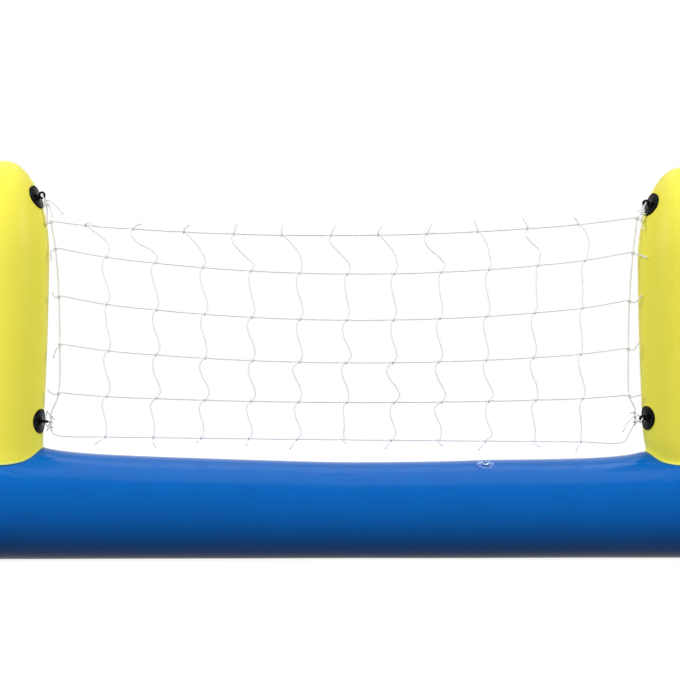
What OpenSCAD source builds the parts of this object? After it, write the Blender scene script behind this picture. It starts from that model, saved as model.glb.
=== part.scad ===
// Inflatable volleyball set: a net laced between two air-filled posts that stand
// welded on one long floor tube, with a cross float under each end.
// +X runs along the net, +Y to the back, +Z up; the floor is z = 0.

/* [Floor tubes] */
// Distance between the axes of the two posts
post_spacing = 1554; // [1440:2:1660]
// Radius of the long floor tube under the posts
tube_r = 118.5; // [112:0.5:119]
// How much slimmer that tube is half way along
waist_slim = 8; // [4:0.5:12]
// Half length over which the waist turns from falling to rising
waist_turn = 120; // [60:10:240]
// Depth of the flat that the filled tubes make on the floor
settle = 4; // [2:0.5:6]
// Radius of the two cross floats
float_r = 120; // [119.5:0.5:130]
// Length of a cross float, front to back
float_len = 640; // [560:10:720]
// Length of a cross float's rounded end
float_end = 95; // [60:5:120]
// Distance from a post's axis out to the axis of the cross float
float_reach = 298; // [294:2:340]
// Thickness that the vinyl film is drawn at
film_t = 2; // [1.8:0.1:3]

/* [Posts] */
// Height of the posts above the floor
post_top = 903; // [860:1:960]
// Largest radius of a post, below its dome
post_r = 98; // [92:0.5:104]
// Radius of a post at its foot
foot_r = 83; // [76:0.5:88]
// Height of the dome, from the widest place to the top
dome_h = 215; // [160:5:240]
// How sharply a post narrows towards its foot
taper_power = 1.6; // [1.2:0.1:2.4]

/* [Neck and weld] */
// How far the floor tube is drawn up under a post
neck_rise = 15; // [10:0.5:20]
// Distance in which that rise falls to about a third
neck_fade = 55; // [40:1:70]
// Width of the weld flange round a post's foot
weld_w = 3; // [2:0.5:5]
// Height of the weld flange
weld_h = 3.5; // [2.5:0.5:6]

/* [Rope patches] */
// Distance of the upper patches below the tops of the posts
upper_patch_drop = 86.6; // [70:0.2:110]
// Height of the lower patches above the floor
lower_patch_z = 316.6; // [300:0.2:360]
// Angle by which the patches are turned to the front
patch_turn = 16; // [0:1:30]
// Radius of a patch
patch_r = 27.5; // [24:0.5:34]
// Thickness of a patch
patch_t = 2.2; // [1.6:0.1:3]
// Width of the raised rim of a patch
patch_rim = 2.4; // [1.5:0.1:4]
// Height of a patch's eye above the vinyl
eye_h = 12.3; // [11.5:0.1:15]
// Radius of the eye's ring, to the middle of its bar
eye_r = 6.2; // [6:0.1:7.5]
// Radius of the eye's bar
eye_bar_r = 2.6; // [2.2:0.1:2.8]

/* [Net] */
// Diameter of the net's cord
cord_d = 3; // [2.4:0.1:3.2]
// Distance between neighbouring cords of the mesh
mesh = 109.5; // [100:0.5:114]
// Gap between a post's widest place and the head line's end
net_gap = 8; // [6:0.5:14]
// How far the head line's ends hang below the upper patches
head_drop = 45; // [40:0.5:60]
// How far the foot line hangs below the lower patches
foot_drop = 44.6; // [36:0.2:50]
// Height of the lowest row of meshes
first_row = 101; // [90:1:112]
// Distance from the posts' plane forward to the net
net_front = 22; // [16:1:28]
// Sag of the head line at mid length
head_sag = 34; // [20:1:44]
// Sag of the highest mesh line at mid length
mesh_sag = 52; // [40:1:60]
// How far the net's sides are drawn in at mid height
net_draw = 20; // [12:1:28]
// Sideways swing of a drop cord inside a mesh
cord_swing = 10; // [4:0.5:14]
// Length of the cord ends left at the knots
tail_len = 22; // [12:1:30]

/* [Air valves] */
// Distance of the floor tube's valve to the right of the middle
base_valve_x = 316; // [200:2:420]
// Angle of that valve to the front of the tube's top
base_valve_turn = 23; // [10:1:40]
// Height of the posts' valves, on their backs
post_valve_z = 330; // [300:2:400]
// Diameter of a valve's flange
flange_d = 40; // [34:1:46]
// Diameter of the stem that pushes into the valve
stem_d = 15; // [14:0.2:16]
// Bore of the stem
stem_bore = 8; // [7:0.2:8.4]
// Length of the stem below its lip
stem_len = 18; // [16:0.5:22]
// Wall of the pocket that the stem pushes into
pocket_wall = 1.8; // [1.4:0.1:2.4]

/* [Hidden] */

$fn = 72;
post_x = post_spacing / 2;
float_x = post_x + float_reach;
tube_z = tube_r - settle;
float_z = float_r - settle;
seat = 0.3;
neck_r = foot_r + weld_w + 2;
saddle_r = tube_r + neck_rise;
wide_z = post_top - dome_h;
foot_z = tube_z + saddle_r;

// ---- long floor tube: a lofted skin, drawn up into a neck under each post ----
loft_sides = 40;
block_half = 170;
mid_steps = 14;

function waist(x) = sqrt(x * x + waist_turn * waist_turn) - waist_turn;
function tube_rad(x) = let (flat = post_x - neck_r)
    tube_r - waist_slim * (1 - waist(min(abs(x), flat)) / waist(flat));
function neck_lift(x, a) = let (
        along = abs(x) - post_x,
        round_by = tube_rad(x) * abs(a) * PI / 180,
        d = max(0, norm([along, round_by]) - neck_r))
    neck_rise * exp(-d / neck_fade);

// A point of the skin at station x and angle a from the top, drawn in by t
function skin(x, a, t) = let (r = tube_rad(x) + neck_lift(x, a) - t)
    [x, r * sin(a), max(t, tube_rad(x) - settle + r * cos(a))];

// A square ring of grid cells, laid round a circle
function ring_turn(i, j) = let (k = max(abs(i), abs(j)))
    k == 0 ? 0 : abs(i) == k ? (i > 0 ? 45 * j / k : 180 - 45 * j / k)
    : (j > 0 ? 90 - 45 * i / k : -90 + 45 * i / k);

// A grid point of the block round a post: its inner rings lie on the neck's circle
function block_pt(side, i, j, h, rings, t) = let (
        k = max(abs(i), abs(j)),
        turn = ring_turn(i, j),
        rr = (neck_r - t) * min(1, k / rings),
        w = max(0, (k - rings) / (h - rings)),
        s = max(1, k),
        cx = rr * cos(turn),
        ca = asin(rr * sin(turn) / saddle_r),
        gx = i * h / s * block_half / h,
        ga = 90 * j / s)
    skin(side * post_x + (1 - w) * cx + w * gx, (1 - w) * ca + w * ga, t);

// Where the tube meets the round side of a cross float
function mouth_pt(side, a, t) = let (
        p = skin(side * (float_x - 40), a, t),
        reach = float_r + 0.5 + (t > 0 ? 1.6 : 0),
        dz = p[2] - float_z)
    [side * (float_x - sqrt(max(0, reach * reach - dz * dz))), p[1], p[2]];

function skin_rings(sides, mids, t) = let (
        h = sides / 4,
        rings = floor(h / 2),
        half = sides / 2,
        angle = function (j) 360 * j / sides,
        block = function (side, i) [for (j = [-half + 1:half])
            abs(j) <= h ? block_pt(side, i, j, h, rings, t)
            : skin(side * post_x + i * block_half / h, angle(j), t)],
        edge = post_x - block_half,
        out = post_x + block_half)
    concat(
        [[for (j = [-half + 1:half]) mouth_pt(-1, angle(j), t)]],
        [for (i = [-h:h]) block(-1, i)],
        [for (m = [1:mids - 1]) [for (j = [-half + 1:half])
            skin(-edge + 2 * edge * m / mids, angle(j), t)]],
        [for (i = [-h:h]) block(1, i)],
        [[for (j = [-half + 1:half]) mouth_pt(1, angle(j), t)]]);

function flat_list(rings) = [for (r = rings) for (p = r) p];
function skin_faces(count, sides, from, inward) = [for (i = [0:count - 2]) for (j = [0:sides - 1])
    let (a = from + i * sides + j, b = from + i * sides + (j + 1) % sides, c = b + sides, d = a + sides)
    for (f = inward ? [[a, c, b], [a, d, c]] : [[a, b, c], [a, c, d]]) f];

module tube_skin() {
    outer = skin_rings(loft_sides, mid_steps, 0);
    inner = skin_rings(loft_sides / 2, mid_steps / 2 + 1, film_t);
    n = loft_sides;
    m = n / 2;
    from = len(outer) * n;
    last_o = (len(outer) - 1) * n;
    last_i = from + (len(inner) - 1) * m;
    // the inner rings start one outer step later, so their corners face each other
    mouths = [for (j = [0:m - 1]) let (o0 = (2 * j + n - 1 + 2) % n, o1 = (o0 + 1) % n, o2 = (o0 + 2) % n,
            i0 = from + j, i1 = from + (j + 1) % m)
        for (f = [[o0, i0, o1], [o1, i0, i1], [o1, i1, o2]]) f];
    ends = [for (j = [0:m - 1]) let (o0 = last_o + (2 * j + 1) % n, o1 = last_o + (2 * j + 2) % n,
            o2 = last_o + (2 * j + 3) % n, i0 = last_i + j, i1 = last_i + (j + 1) % m)
        for (f = [[o0, o1, i0], [o1, i1, i0], [o1, o2, i1]]) f];
    polyhedron(concat(flat_list(outer), flat_list(inner)),
        concat(skin_faces(len(outer), n, 0, false), skin_faces(len(inner), m, from, true), mouths, ends),
        convexity = 6);
}

// ---- cross floats ----
function capsule(r, len, end) = concat(
    [for (k = [0:7]) [r * sin(90 * k / 8), -len / 2 + end * (1 - cos(90 * k / 8))]],
    [[r, -len / 2 + end]],
    [for (k = [0:8]) [r * cos(90 * k / 8), len / 2 - end + end * sin(90 * k / 8)]]);

module float_body(t) {
    intersection() {
        translate([0, 0, float_z])
            rotate([-90, 0, 0])
                rotate_extrude()
                    polygon(capsule(float_r - t, float_len - 2 * t, float_end - t));
        translate([-float_r, -float_len / 2, t])
            cube([2 * float_r, float_len, 2 * float_r]);
    }
}

module cross_float(side) {
    translate([side * float_x, 0, 0])
        difference() {
            float_body(0);
            float_body(film_t);
        }
}

// ---- posts ----
function post_rad(z) = let (u = min(1, max(0, (wide_z - z) / (wide_z - foot_z))))
    post_r - (post_r - foot_r) * pow(u, taper_power);
function post_lean(z) = (post_rad(z + 1) - post_rad(z - 1)) / 2;

// The post's outline as [radius, height, normal], from below its foot to the top
post_line = concat(
    [[foot_r, tube_z, 1, 0], [foot_r, foot_z, 1, 0]],
    [for (k = [1:9]) let (z = foot_z + (wide_z - foot_z) * k / 10, n = norm([1, post_lean(z)]))
        [post_rad(z), z, 1 / n, -post_lean(z) / n]],
    [for (k = [0:16]) let (a = 90 * k / 16, n = norm([dome_h * cos(a), post_r * sin(a)]))
        [k == 16 ? 0 : post_r * cos(a), wide_z + dome_h * sin(a),
            k == 16 ? 0 : dome_h * cos(a) / n, post_r * sin(a) / n]]);
function post_edge(t) = [for (p = post_line) [p[0] + t * p[2], p[1] + t * p[3]]];
function backwards(l) = [for (i = [len(l) - 1:-1:0]) l[i]];

module post_body(t) {
    rotate_extrude()
        polygon(concat([[0, tube_z]], post_edge(t)));
}

module saddle(gap) {
    translate([-post_r * 2, 0, tube_z])
        rotate([0, 90, 0])
            cylinder(r = saddle_r + gap, h = post_r * 4);
}

// A round weld flange that follows the saddle
module weld_flange() {
    difference() {
        intersection() {
            translate([0, 0, tube_z])
                cylinder(r = foot_r + weld_w, h = saddle_r * 2);
            saddle(seat + weld_h);
        }
        saddle(seat);
        translate([0, 0, tube_z])
            cylinder(r = foot_r - film_t / 2, h = saddle_r * 2);
    }
}

module post(side) {
    translate([side * post_x, 0, 0]) {
        difference() {
            post_body(0);
            saddle(seat);
            difference() {
                post_body(-film_t);
                saddle(seat + film_t);
            }
            valve_hole_post();
        }
        weld_flange();
    }
}

// ---- rope patches: a welded disc with a raised rim and a moulded eye ----
upper_z = post_top - upper_patch_drop;
function patch_lift(name) = name == 0 ? 2 : name == 1 ? -3 : name == 2 ? -5 : 5;
function patch_spin(name) = name == 0 ? 0 : name == 1 ? 50 : name == 2 ? 80 : 30;
function patch_side(name) = name % 2 == 0 ? -1 : 1;
function patch_high(name) = (name < 2 ? upper_z : lower_patch_z) + patch_lift(name);
function dome_rad(z) = z < wide_z ? post_rad(z)
    : post_r * sqrt(max(0, 1 - pow((z - wide_z) / dome_h, 2)));
function dome_lean(z) = (dome_rad(z + 1) - dome_rad(z - 1)) / 2;
// Heading of a patch round its post, and its tilt upwards
function patch_head(name) = patch_side(name) < 0 ? -patch_turn : 180 + patch_turn;
function patch_tilt(name) = -atan(dome_lean(patch_high(name)));
function patch_foot(name) = let (z = patch_high(name), h = patch_head(name))
    [patch_side(name) * post_x + dome_rad(z) * cos(h), dome_rad(z) * sin(h), z];
// Directions at a patch: out of the vinyl, to the front along it, and up along it
function patch_out(name) = let (h = patch_head(name), e = patch_tilt(name))
    [cos(e) * cos(h), cos(e) * sin(h), sin(e)];
function patch_fore(name) = let (h = patch_head(name)) patch_side(name) * [-sin(h), cos(h), 0];
function patch_up(name) = cross(patch_out(name), patch_fore(name)) * patch_side(name);
function eye_pt(name) = patch_foot(name) + eye_h * patch_out(name);
// The eye's hole leads to the front and down by its spin; e lies across it in the ring
function near_eye(name, o, h, e) = let (q = patch_spin(name), f = patch_fore(name), u = patch_up(name))
    eye_pt(name) + o * patch_out(name) + h * (cos(q) * f - sin(q) * u) + e * (sin(q) * f + cos(q) * u);

module vinyl_band(name, low, high) {
    translate([patch_side(name) * post_x, 0, 0])
        intersection() {
            rotate_extrude()
                polygon(concat(post_edge(high), backwards(post_edge(low))));
            translate([-post_r * 2, -post_r * 2, foot_z])
                cube([post_r * 4, post_r * 4, post_top]);
        }
}

module at_patch(name) {
    translate(patch_foot(name))
        rotate([0, 0, patch_head(name)])
            rotate([0, 90 - patch_tilt(name), 0])
                children();
}

module patch(name) {
    intersection() {
        vinyl_band(name, seat, seat + patch_t);
        at_patch(name)
            translate([0, 0, -12])
                cylinder(r = patch_r, h = 24);
    }
    intersection() {
        vinyl_band(name, seat + patch_t / 2, seat + patch_t + 1);
        at_patch(name)
            translate([0, 0, -12])
                difference() {
                    cylinder(r = patch_r, h = 24);
                    translate([0, 0, -1])
                        cylinder(r = patch_r - patch_rim, h = 26);
                }
    }
    at_patch(name) {
        // boss under the ring
        rotate_extrude()
            polygon([[0, 1], [12, 1], [12, 2.4], [8, 3.4], [5.4, 5], [4.4, eye_h - eye_r], [0, eye_h - eye_r]]);
        translate([0, 0, eye_h])
            rotate([0, 0, -patch_side(name) * patch_spin(name)])
                rotate([90, 0, 0])
                    rotate_extrude()
                        translate([eye_r, 0])
                            circle(r = eye_bar_r, $fn = 32);
    }
}

// ---- air valves: a welded flange with a pocket, a stem pushed into it, and its plug ----
pocket_r = stem_d / 2 + pocket_wall;
hole_reach = stem_len + 12;
module on_base_valve() {
    translate([base_valve_x, 0, tube_rad(base_valve_x) - settle])
        rotate([base_valve_turn, 0, 0])
            translate([0, 0, tube_rad(base_valve_x)])
                children();
}
module on_post_valve(side) {
    translate([side * post_x, 0, post_valve_z])
        rotate([0, 0, 90])
            translate([post_rad(post_valve_z), 0, 0])
                rotate([0, 90, 0])
                    children();
}
module valve_hole_post() {
    translate([0, 0, post_valve_z])
        rotate([-90, 0, 0])
            cylinder(r = pocket_r + seat, h = post_r * 2);
}
module valve_hole_base() {
    on_base_valve()
        translate([0, 0, -hole_reach])
            cylinder(r = pocket_r + seat, h = 2 * hole_reach);
}
// Pocket for the stem: open at the top, with a lip at the bottom
module valve_pocket() {
    difference() {
        translate([0, 0, -stem_len - 2])
            cylinder(r = pocket_r, h = stem_len + 4.4);
        translate([0, 0, -stem_len])
            cylinder(r = stem_d / 2 + 0.1, h = stem_len + 4);
        translate([0, 0, -stem_len - 3])
            cylinder(r = stem_bore / 2, h = 8);
    }
}
module flange_ring() {
    difference() {
        translate([0, 0, -12])
            cylinder(d = flange_d, h = 24);
        translate([0, 0, -13])
            cylinder(r = pocket_r - 0.5, h = 26);
    }
}
module base_valve_part() {
    on_base_valve() valve_pocket();
    intersection() {
        translate([base_valve_x - flange_d, 0, tube_rad(base_valve_x) - settle])
            rotate([0, 90, 0])
                difference() {
                    cylinder(r = tube_rad(base_valve_x) + seat + 1.3, h = 2 * flange_d);
                    translate([0, 0, -1])
                        cylinder(r = tube_rad(base_valve_x) + seat + 0.3, h = 2 * flange_d + 2);
                }
        on_base_valve() flange_ring();
    }
}
module post_valve_part(side) {
    on_post_valve(side) valve_pocket();
    intersection() {
        translate([side * post_x, 0, 0])
            rotate_extrude()
                polygon(concat(post_edge(seat + 1), backwards(post_edge(seat))));
        on_post_valve(side) flange_ring();
    }
}
// Stem: a tube with a lip that lies on the pocket's mouth
module valve_stem() {
    difference() {
        union() {
            translate([0, 0, -stem_len + 0.3])
                cylinder(d = stem_d, h = stem_len + 2.4);
            translate([0, 0, 2.7])
                cylinder(r = pocket_r, h = 1.4);
        }
        translate([0, 0, -stem_len - 1])
            cylinder(d = stem_bore, h = stem_len + 8);
    }
}
// Plug: a domed cap on a ribbed pin, with a pull tab
module valve_plug() {
    rotate_extrude()
        polygon([[0, -8], [stem_bore / 2 - 0.6, -8], [stem_bore / 2 - 0.1, -7], [stem_bore / 2 - 0.1, 4.4],
            [stem_d / 2 + 0.6, 4.4], [stem_d / 2 + 0.6, 5.4], [stem_d / 2 - 1, 6.4], [0, 6.9]]);
    translate([0, 0, 4.4])
        linear_extrude(1)
            difference() {
                hull() {
                    translate([stem_d / 2 - 1, -2.5])
                        square([1, 5]);
                    translate([stem_d / 2 + 4, 0])
                        circle(r = 2.5, $fn = 24);
                }
                translate([stem_d / 2 + 4, 0])
                    circle(r = 1.1, $fn = 24);
            }
}

// ---- cords ----
function unit(v) = v / norm(v);
function headings(p) = let (n = len(p) - 1)
    [for (i = [0:n]) unit((i < n ? unit(p[i + 1] - p[i]) : [0, 0, 0]) + (i > 0 ? unit(p[i] - p[i - 1]) : [0, 0, 0]))];
// Normals carried along the path without twisting
function carried(t, first) = [for (i = 0, n = unit(first - (first * t[0]) * t[0]); i < len(t);
    i = i + 1, n = i < len(t) ? unit(n - (n * t[i]) * t[i]) : n) n];

module cord(p, sides, first = [0.1, 1, 0.2]) {
    t = headings(p);
    n = carried(t, first);
    m = len(p);
    r = cord_d / 2;
    points = [for (i = [0:m - 1]) let (b = cross(t[i], n[i]))
        for (j = [0:sides - 1]) p[i] + r * (cos(360 * j / sides) * n[i] + sin(360 * j / sides) * b)];
    walls = [for (i = [0:m - 2]) for (j = [0:sides - 1])
        let (a = i * sides + j, b = i * sides + (j + 1) % sides, c = b + sides, d = a + sides)
        for (f = [[a, c, b], [a, d, c]]) f];
    caps = [for (j = [1:sides - 2]) for (f = [[0, j, j + 1],
        [(m - 1) * sides, (m - 1) * sides + j + 1, (m - 1) * sides + j]]) f];
    polyhedron(points, concat(walls, caps), convexity = 8);
}

// One turn round a carrying cord: c centre, a its direction, u where the turn starts
turn_r = (cord_d + 0.2) / cos(36);
function wrap(c, a, u, drift, r = turn_r, turns = 1, steps = 5) = let (v = cross(a, u))
    [for (k = [0:steps]) let (f = k / steps, q = 360 * turns * f)
        c + a * drift * (f - 0.5) + r * (cos(q) * u + sin(q) * v)];

// ---- net: head line, four mesh lines, foot line, side lines and drop cords ----
net_half = post_x - post_r - net_gap;
// Unit of the hand-laid routes, and of their parts inside an eye, which keep clear of its bar
lay = cord_d / 3;
hold = (eye_r - eye_bar_r - cord_d / 2) / 2.1;
head_z = upper_z - head_drop;
low_z = lower_patch_z - foot_drop;
drift = cord_d * 1.5;
// Height of each line's ends, its tilt from level, its sag and how far its ends are drawn in
function line_end(k) = k == 0 ? head_z : k == 5 ? low_z : low_z + first_row + (4 - k) * mesh;
line_tilt = lay * [9.5, 0, -1.5, -2, -1, -6];
line_sag = concat([head_sag], mesh_sag * [1, 0.923, 0.692, 0.327, 0.029]);
line_draw = net_draw * [0, 0.5, 0.9, 1, 0.875, 0.7];
function line_z(k, x) = let (u = x / net_half)
    line_end(k) + line_tilt[k] * u - line_sag[k] * (1 - u * u);
function line_dir(k, x) = unit([2, 0, line_z(k, x + 1) - line_z(k, x - 1)]);
// Drop cords hang mesh by mesh, and are gathered to the left along the head line.
// How far each knot lies to the right of that even spacing, cord by cord from the head line down
knot_shift = [[0.5, -0.5, 1, 6, 1, -1.5], [-3.5, -0.5, 4.5, 3.5, 3.5, -2], [2, 0.5, 4, 6, 4, -3.5],
    [2, -0.5, 2, 3, 1, -4.5], [0.5, 0.5, 1.5, 0.5, -1, -5.5], [-1.5, 0, -1, -3, -1, -7.5],
    [-4.5, -2, -3, -4.5, -2, -8.5], [-7.5, -3.5, -6, -8.5, -2, -8.5], [-2.5, -3, -8.5, -9, -3.5, -11],
    [-3.5, 0, -7, -8.5, -3.5, -8], [2, 0, -5.5, -9, -3.5, -9]];
function drop_x(i, k) = (i - 6) * mesh + lay * knot_shift[i - 1][k]
    + (k == 0 ? mesh * (-0.42 + 0.274 * pow((i - 1) / 10, 1.6)) : 0);
function knot_pt(i, k) = let (x = drop_x(i, k)) [x, -net_front, line_z(k, x)];
function side_pt(s, k) = [s * (net_half - line_draw[k]), -net_front + turn_r, line_end(k) + s * line_tilt[k]];

// A drop cord's sideways swings, in tenths of cord_swing: four in the top mesh, and in each
// mesh below it one out of the upper knot and one into the lower knot
top_swing = [[8, 20, 22, 13], [-10, -7, 11, 14], [5, 12, 14, 10], [-9, -5, 3, 12], [8, 17, 17, 10],
    [-6, 2, 11, 12], [7, 16, 17, 11], [-9, -5, 9, 13], [6, 10, 9, 7], [-7, 4, 15, 7], [10, 15, 13, 7]];
mesh_swing = [[[-6.5, 7.5], [-1, 4.5], [-7.5, 7], [-6, 2.5]], [[-5.5, 4.5], [-6.5, 8], [-5, 10], [-8.5, 0.5]],
    [[-5.5, 7], [-7, 3], [-10.5, 10], [-7.5, 4.5]], [[-2.5, 6], [-9, 5.5], [-6, 8.5], [-7.5, 5.5]],
    [[-5, 6.5], [-5, 6], [-12, 6], [-6, 9.5]], [[-3.5, 4.5], [-7, 11], [-7.5, 4.5], [-4, -1.5]],
    [[-4.5, 5], [-3.5, 8], [-12, 13], [-5, 9]], [[-2.5, 4.5], [-5, 7.5], [-7, 9.5], [-13, 4]],
    [[-4.5, 5.5], [-4.5, 4.5], [-5.5, 10.5], [-2, 13]], [[1, 4.5], [-5.5, 5], [-7.5, 4.5], [-7, 1.5]],
    [[-4.5, -2], [-3, 2], [-4.5, 4.5], [-5, -1]]];
// Which way a knot's turn moves along its line: 1 to the right, -1 to the left
function turn_way(i, k) = k == 0 && top_swing[i - 1][0] > 0 ? 1 : -1;
function swing(i, k) = let (a = knot_pt(i, k) + [turn_way(i, k) * drift / 2, -turn_r, 0],
        b = knot_pt(i, k + 1) + [drift / 2, -turn_r, 0],
        m = mesh_swing[i - 1][k - 1],
        w = cord_swing / 10 * (k == 0 ? top_swing[i - 1] : [m[0], m[0] / 2, m[1] / 2, m[1]]),
        q = [0.17, 0.42, 0.62, 0.84])
    [for (n = [0:3]) a + (b - a) * q[n] + [w[n], 0, 0]];
// Loose ends: how far each leans to the right, in degrees, and its share of tail_len
head_lean = [80, 62, 44, 15, 10, 18, 25, 24, -18, -31, -33];
head_share = [0.8, 0.95, 1, 1.1, 1.15, 1.2, 1.15, 1.15, 1.1, 1.15, 0.9];
foot_lean = [-52, 23, -38, -9, -29, 59, -30, 48, -32, 57, -24];
foot_share = [1.05, 1.1, 0.55, 0.75, 1.15, 0.5, 1, 0.75, 1.1, 0.9, 1.1];
// A loose end that leaves point p upwards (way 1) or downwards (way -1), from its tip
function loose_end(p, way, lean, len) = [
    p + [len * sin(lean), -4 * lay, way * (3 * lay + (len - 3 * lay) * cos(lean))],
    p + lay * [5 * sin(lean), -3.5, way * (3 + 5 * cos(lean))]];
function drop_path(i) = let (top = knot_pt(i, 0) + [-turn_way(i, 0) * drift / 2, -turn_r, 0],
        low = knot_pt(i, 5) + [-drift / 2, -turn_r, 0])
    concat(
        loose_end(top, 1, head_lean[i - 1], tail_len * head_share[i - 1]),
        [for (k = [0:5]) for (p = concat(
            wrap(knot_pt(i, k), line_dir(k, drop_x(i, k)), [0, -1, 0], turn_way(i, k) * drift),
            k < 5 ? swing(i, k) : [])) p],
        backwards(loose_end(low, -1, foot_lean[i - 1], tail_len * foot_share[i - 1])));

module drop_cord(i) {
    color("white")
        cord(drop_path(i), 5);
}

// A line's end: once round the side line, then a loose end outward
function side_dir(s, k) = unit(side_pt(s, max(0, k - 1)) - side_pt(s, min(4, k + 1)));
function line_hitch(s, c, up, lift, tail) = concat(
    wrap(c, s * up, [0, -1, 0], -s * lift * drift),
    [for (p = tail) c + [s * p[0], p[1], p[2]]]);
// Two points of each line's loose end, left and right, from the head line down: out from the
// side line, to the back, and up
line_tail = [[[[7, -4, 0], [13, -4, -0.3]], [[7, -4, 0], [13, -4, -0.3]]],
    [[[8, -6, -3], [8, -8, -24]], [[11, -8, -1], [26, -28, -12]]],
    [[[8, -6.5, 0], [14, -8, 12]], [[12, -6.5, 0], [27, -8, 15]]],
    [[[7, -6, -8], [13, -8, -28]], [[10, -6.5, 0], [22, -8, 16]]],
    [[[11, -6.5, 1], [24, -8, 11]], [[11, -6.5, 1], [24, -8, 6]]]];
function hitch_tail(k, s) = [for (p = line_tail[k][s < 0 ? 0 : 1]) [0, 0, -drift / 2] + lay * p];
function mesh_path(k) = concat(
    backwards(line_hitch(-1, side_pt(-1, k), side_dir(-1, k), 1, hitch_tail(k, -1))),
    [for (i = [1:11]) knot_pt(i, k)],
    line_hitch(1, side_pt(1, k), side_dir(1, k), 1, hitch_tail(k, 1)));

module mesh_line(k) {
    color("white")
        cord(mesh_path(k), 5);
}

// The side lines run on past the lowest mesh line to the lower patches
// Middle of the foot line's hitch on a side line
function foot_c(s) = [s * net_half, -net_front + turn_r, low_z] + lay * (s < 0 ? [1.5, 0, 25] : [-5, 0, 39]);
function side_path(s) = concat(
    [side_pt(s, 0) + 7 * lay * side_dir(s, 0)],
    [for (k = [0:4]) side_pt(s, k)],
    [for (up = [32, 12, -8]) foot_c(s) + [0, 0, up * lay]]);
foot_path = concat(
    backwards(concat([for (p = [[13, 0, -17.5], [3.5, 0, -12]]) foot_c(-1) + [0, -turn_r, 0] + lay * p],
        line_hitch(-1, foot_c(-1), [0, 0, 1], -1, lay * [[5, -5, 0.5], [9, -6, -5]]))),
    [for (i = [1:11]) knot_pt(i, 5)],
    [for (p = [[-26, 0, -44], [-15, 0, -28]]) foot_c(1) + [0, -turn_r, 0] + lay * p],
    line_hitch(1, foot_c(1), [0, 0, 1], -1, lay * [[8, -4.5, 2], [14, -5, -1]]));

module side_line(s) {
    color("white")
        cord(side_path(s), 5);
}

// ---- corner ties: hand-laid routes from the net's corners through the eyes ----
tie_r = turn_r + 0.7 * cord_d;
// Upper ties: an end, a turn round both strands, up through the eye, down round the
// head line's end and back to the other end
function upper_tie(name, share, shift, end_a, loop, end_b) = let (
        s = patch_side(name),
        corner = [s * (net_half + 9 * lay), -net_front, side_pt(s, 0)[2] - drift / 2],
        knot = corner + (eye_pt(name) - corner) * share + lay * shift,
        a = unit(near_eye(name, 1.5 * hold, 0, -4 * hold) - knot),
        w = unit([0, 1, 0] - ([0, 1, 0] * a) * a),
        v = cross(w, a) * -s)
    concat(
        [for (p = end_a) knot + lay * (p[0] * v + p[1] * w + p[2] * a)],
        [for (k = [0:8]) let (q = k * 56.25) knot + tie_r * (cos(q) * v - sin(q) * w) + lay * a * (0.6 * k - 2.4)],
        [for (p = hold * loop) near_eye(name, p[0], p[1], p[2])],
        [knot + lay * (1.8 * w + 5 * a), knot + lay * (1.8 * w - 5 * a)],
        [for (q = [-15, 30, 90, 150, 195]) corner + turn_r * [0, cos(q), -sin(q)]],
        [knot - lay * (1.8 * w + 5 * a), knot - lay * (1.8 * w - 4.6 * a)],
        [for (p = end_b) knot + lay * (p[0] * v + p[1] * w + p[2] * a)]);

// Lower ties: two turns round the side line's end with a loop through the eye between them
function lower_tie(name, way, turns, end_a, loop, end_b) = let (
        s = patch_side(name),
        c = foot_c(s))
    concat(
        [for (p = end_a) c + lay * p],
        wrap(c + [0, 0, 12.5 * lay], [0, 0, way], [0, -1, 0], -s * way * drift, turn_r, turns, round(5 * turns)),
        [for (p = hold * loop) near_eye(name, p[0], p[1], p[2])],
        wrap(c + [0, 0, 24 * lay], [0, 0, -s], [0, -1, 0], s * drift),
        [for (p = end_b) c + lay * p]);

function tie_path(name) = name == 0 ? upper_tie(0, 0.66, [5, 2, 0],
        [[5, -6, -31], [7, -5, -15]],
        [[4, 6.4, -5], [1.2, 5.2, -1.6], [1, 0, -1.3], [1.2, -5.2, -1.6], [4, -5, -6]],
        [[9, -3.4, 8], [21, -5, -9], [30, -6, -32]])
    : name == 1 ? upper_tie(1, 0.36, [0, 0, 0],
        [[-3, -11, -40], [4, -9, -24], [8, -6, -10]],
        [[3.5, 8, -6], [1.2, 5.2, -1.4], [1, 0, -1.3], [1.2, -5.2, -1.2], [2, -6, -7.5], [2.5, -0.5, -12]],
        [[8, -3.4, 7], [13, -5, 2]])
    : name == 2 ? lower_tie(2, 1, 0.75,
        [[-8, -13, -8], [-1.5, -10, 3]],
        [[6, 6, -13], [3, 9, -4], [2, 5.5, 0], [1.7, 0, 0], [1.4, -7, 0], [1, -16, 0], [3, -24, 0], [8, -18, 1]],
        [[5, -5.5, 20], [11, -6, 19]])
    : lower_tie(3, 1, 1,
        [[-30, -7, -23], [-20, -9, -3], [-8, -9, 11]],
        [[9, 7, -3], [3, 5.5, -0.6], [1.7, 0, 0], [3, -5.5, 0.6], [13, -4, 8]],
        [[-6, -5.5, 21], [-13, -6, 24]]);

module tie(name) {
    color("whitesmoke")
        cord(tie_path(name), 8);
}

// Least distance between points of one cord that aren't neighbours along it
function own_gap(p) = min([for (i = [0:len(p) - 5]) for (j = [i + 4:len(p) - 1])
    if (j - i > 4 || norm(p[j] - p[i + 2]) > cord_d) norm(p[i] - p[j])]) - cord_d;
echo("least gap of a cord to itself",
    min(concat([for (i = [1:11]) own_gap(drop_path(i))], [for (k = [0:4]) own_gap(mesh_path(k))],
        [for (n = [0:3]) own_gap(tie_path(n))])));

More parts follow.
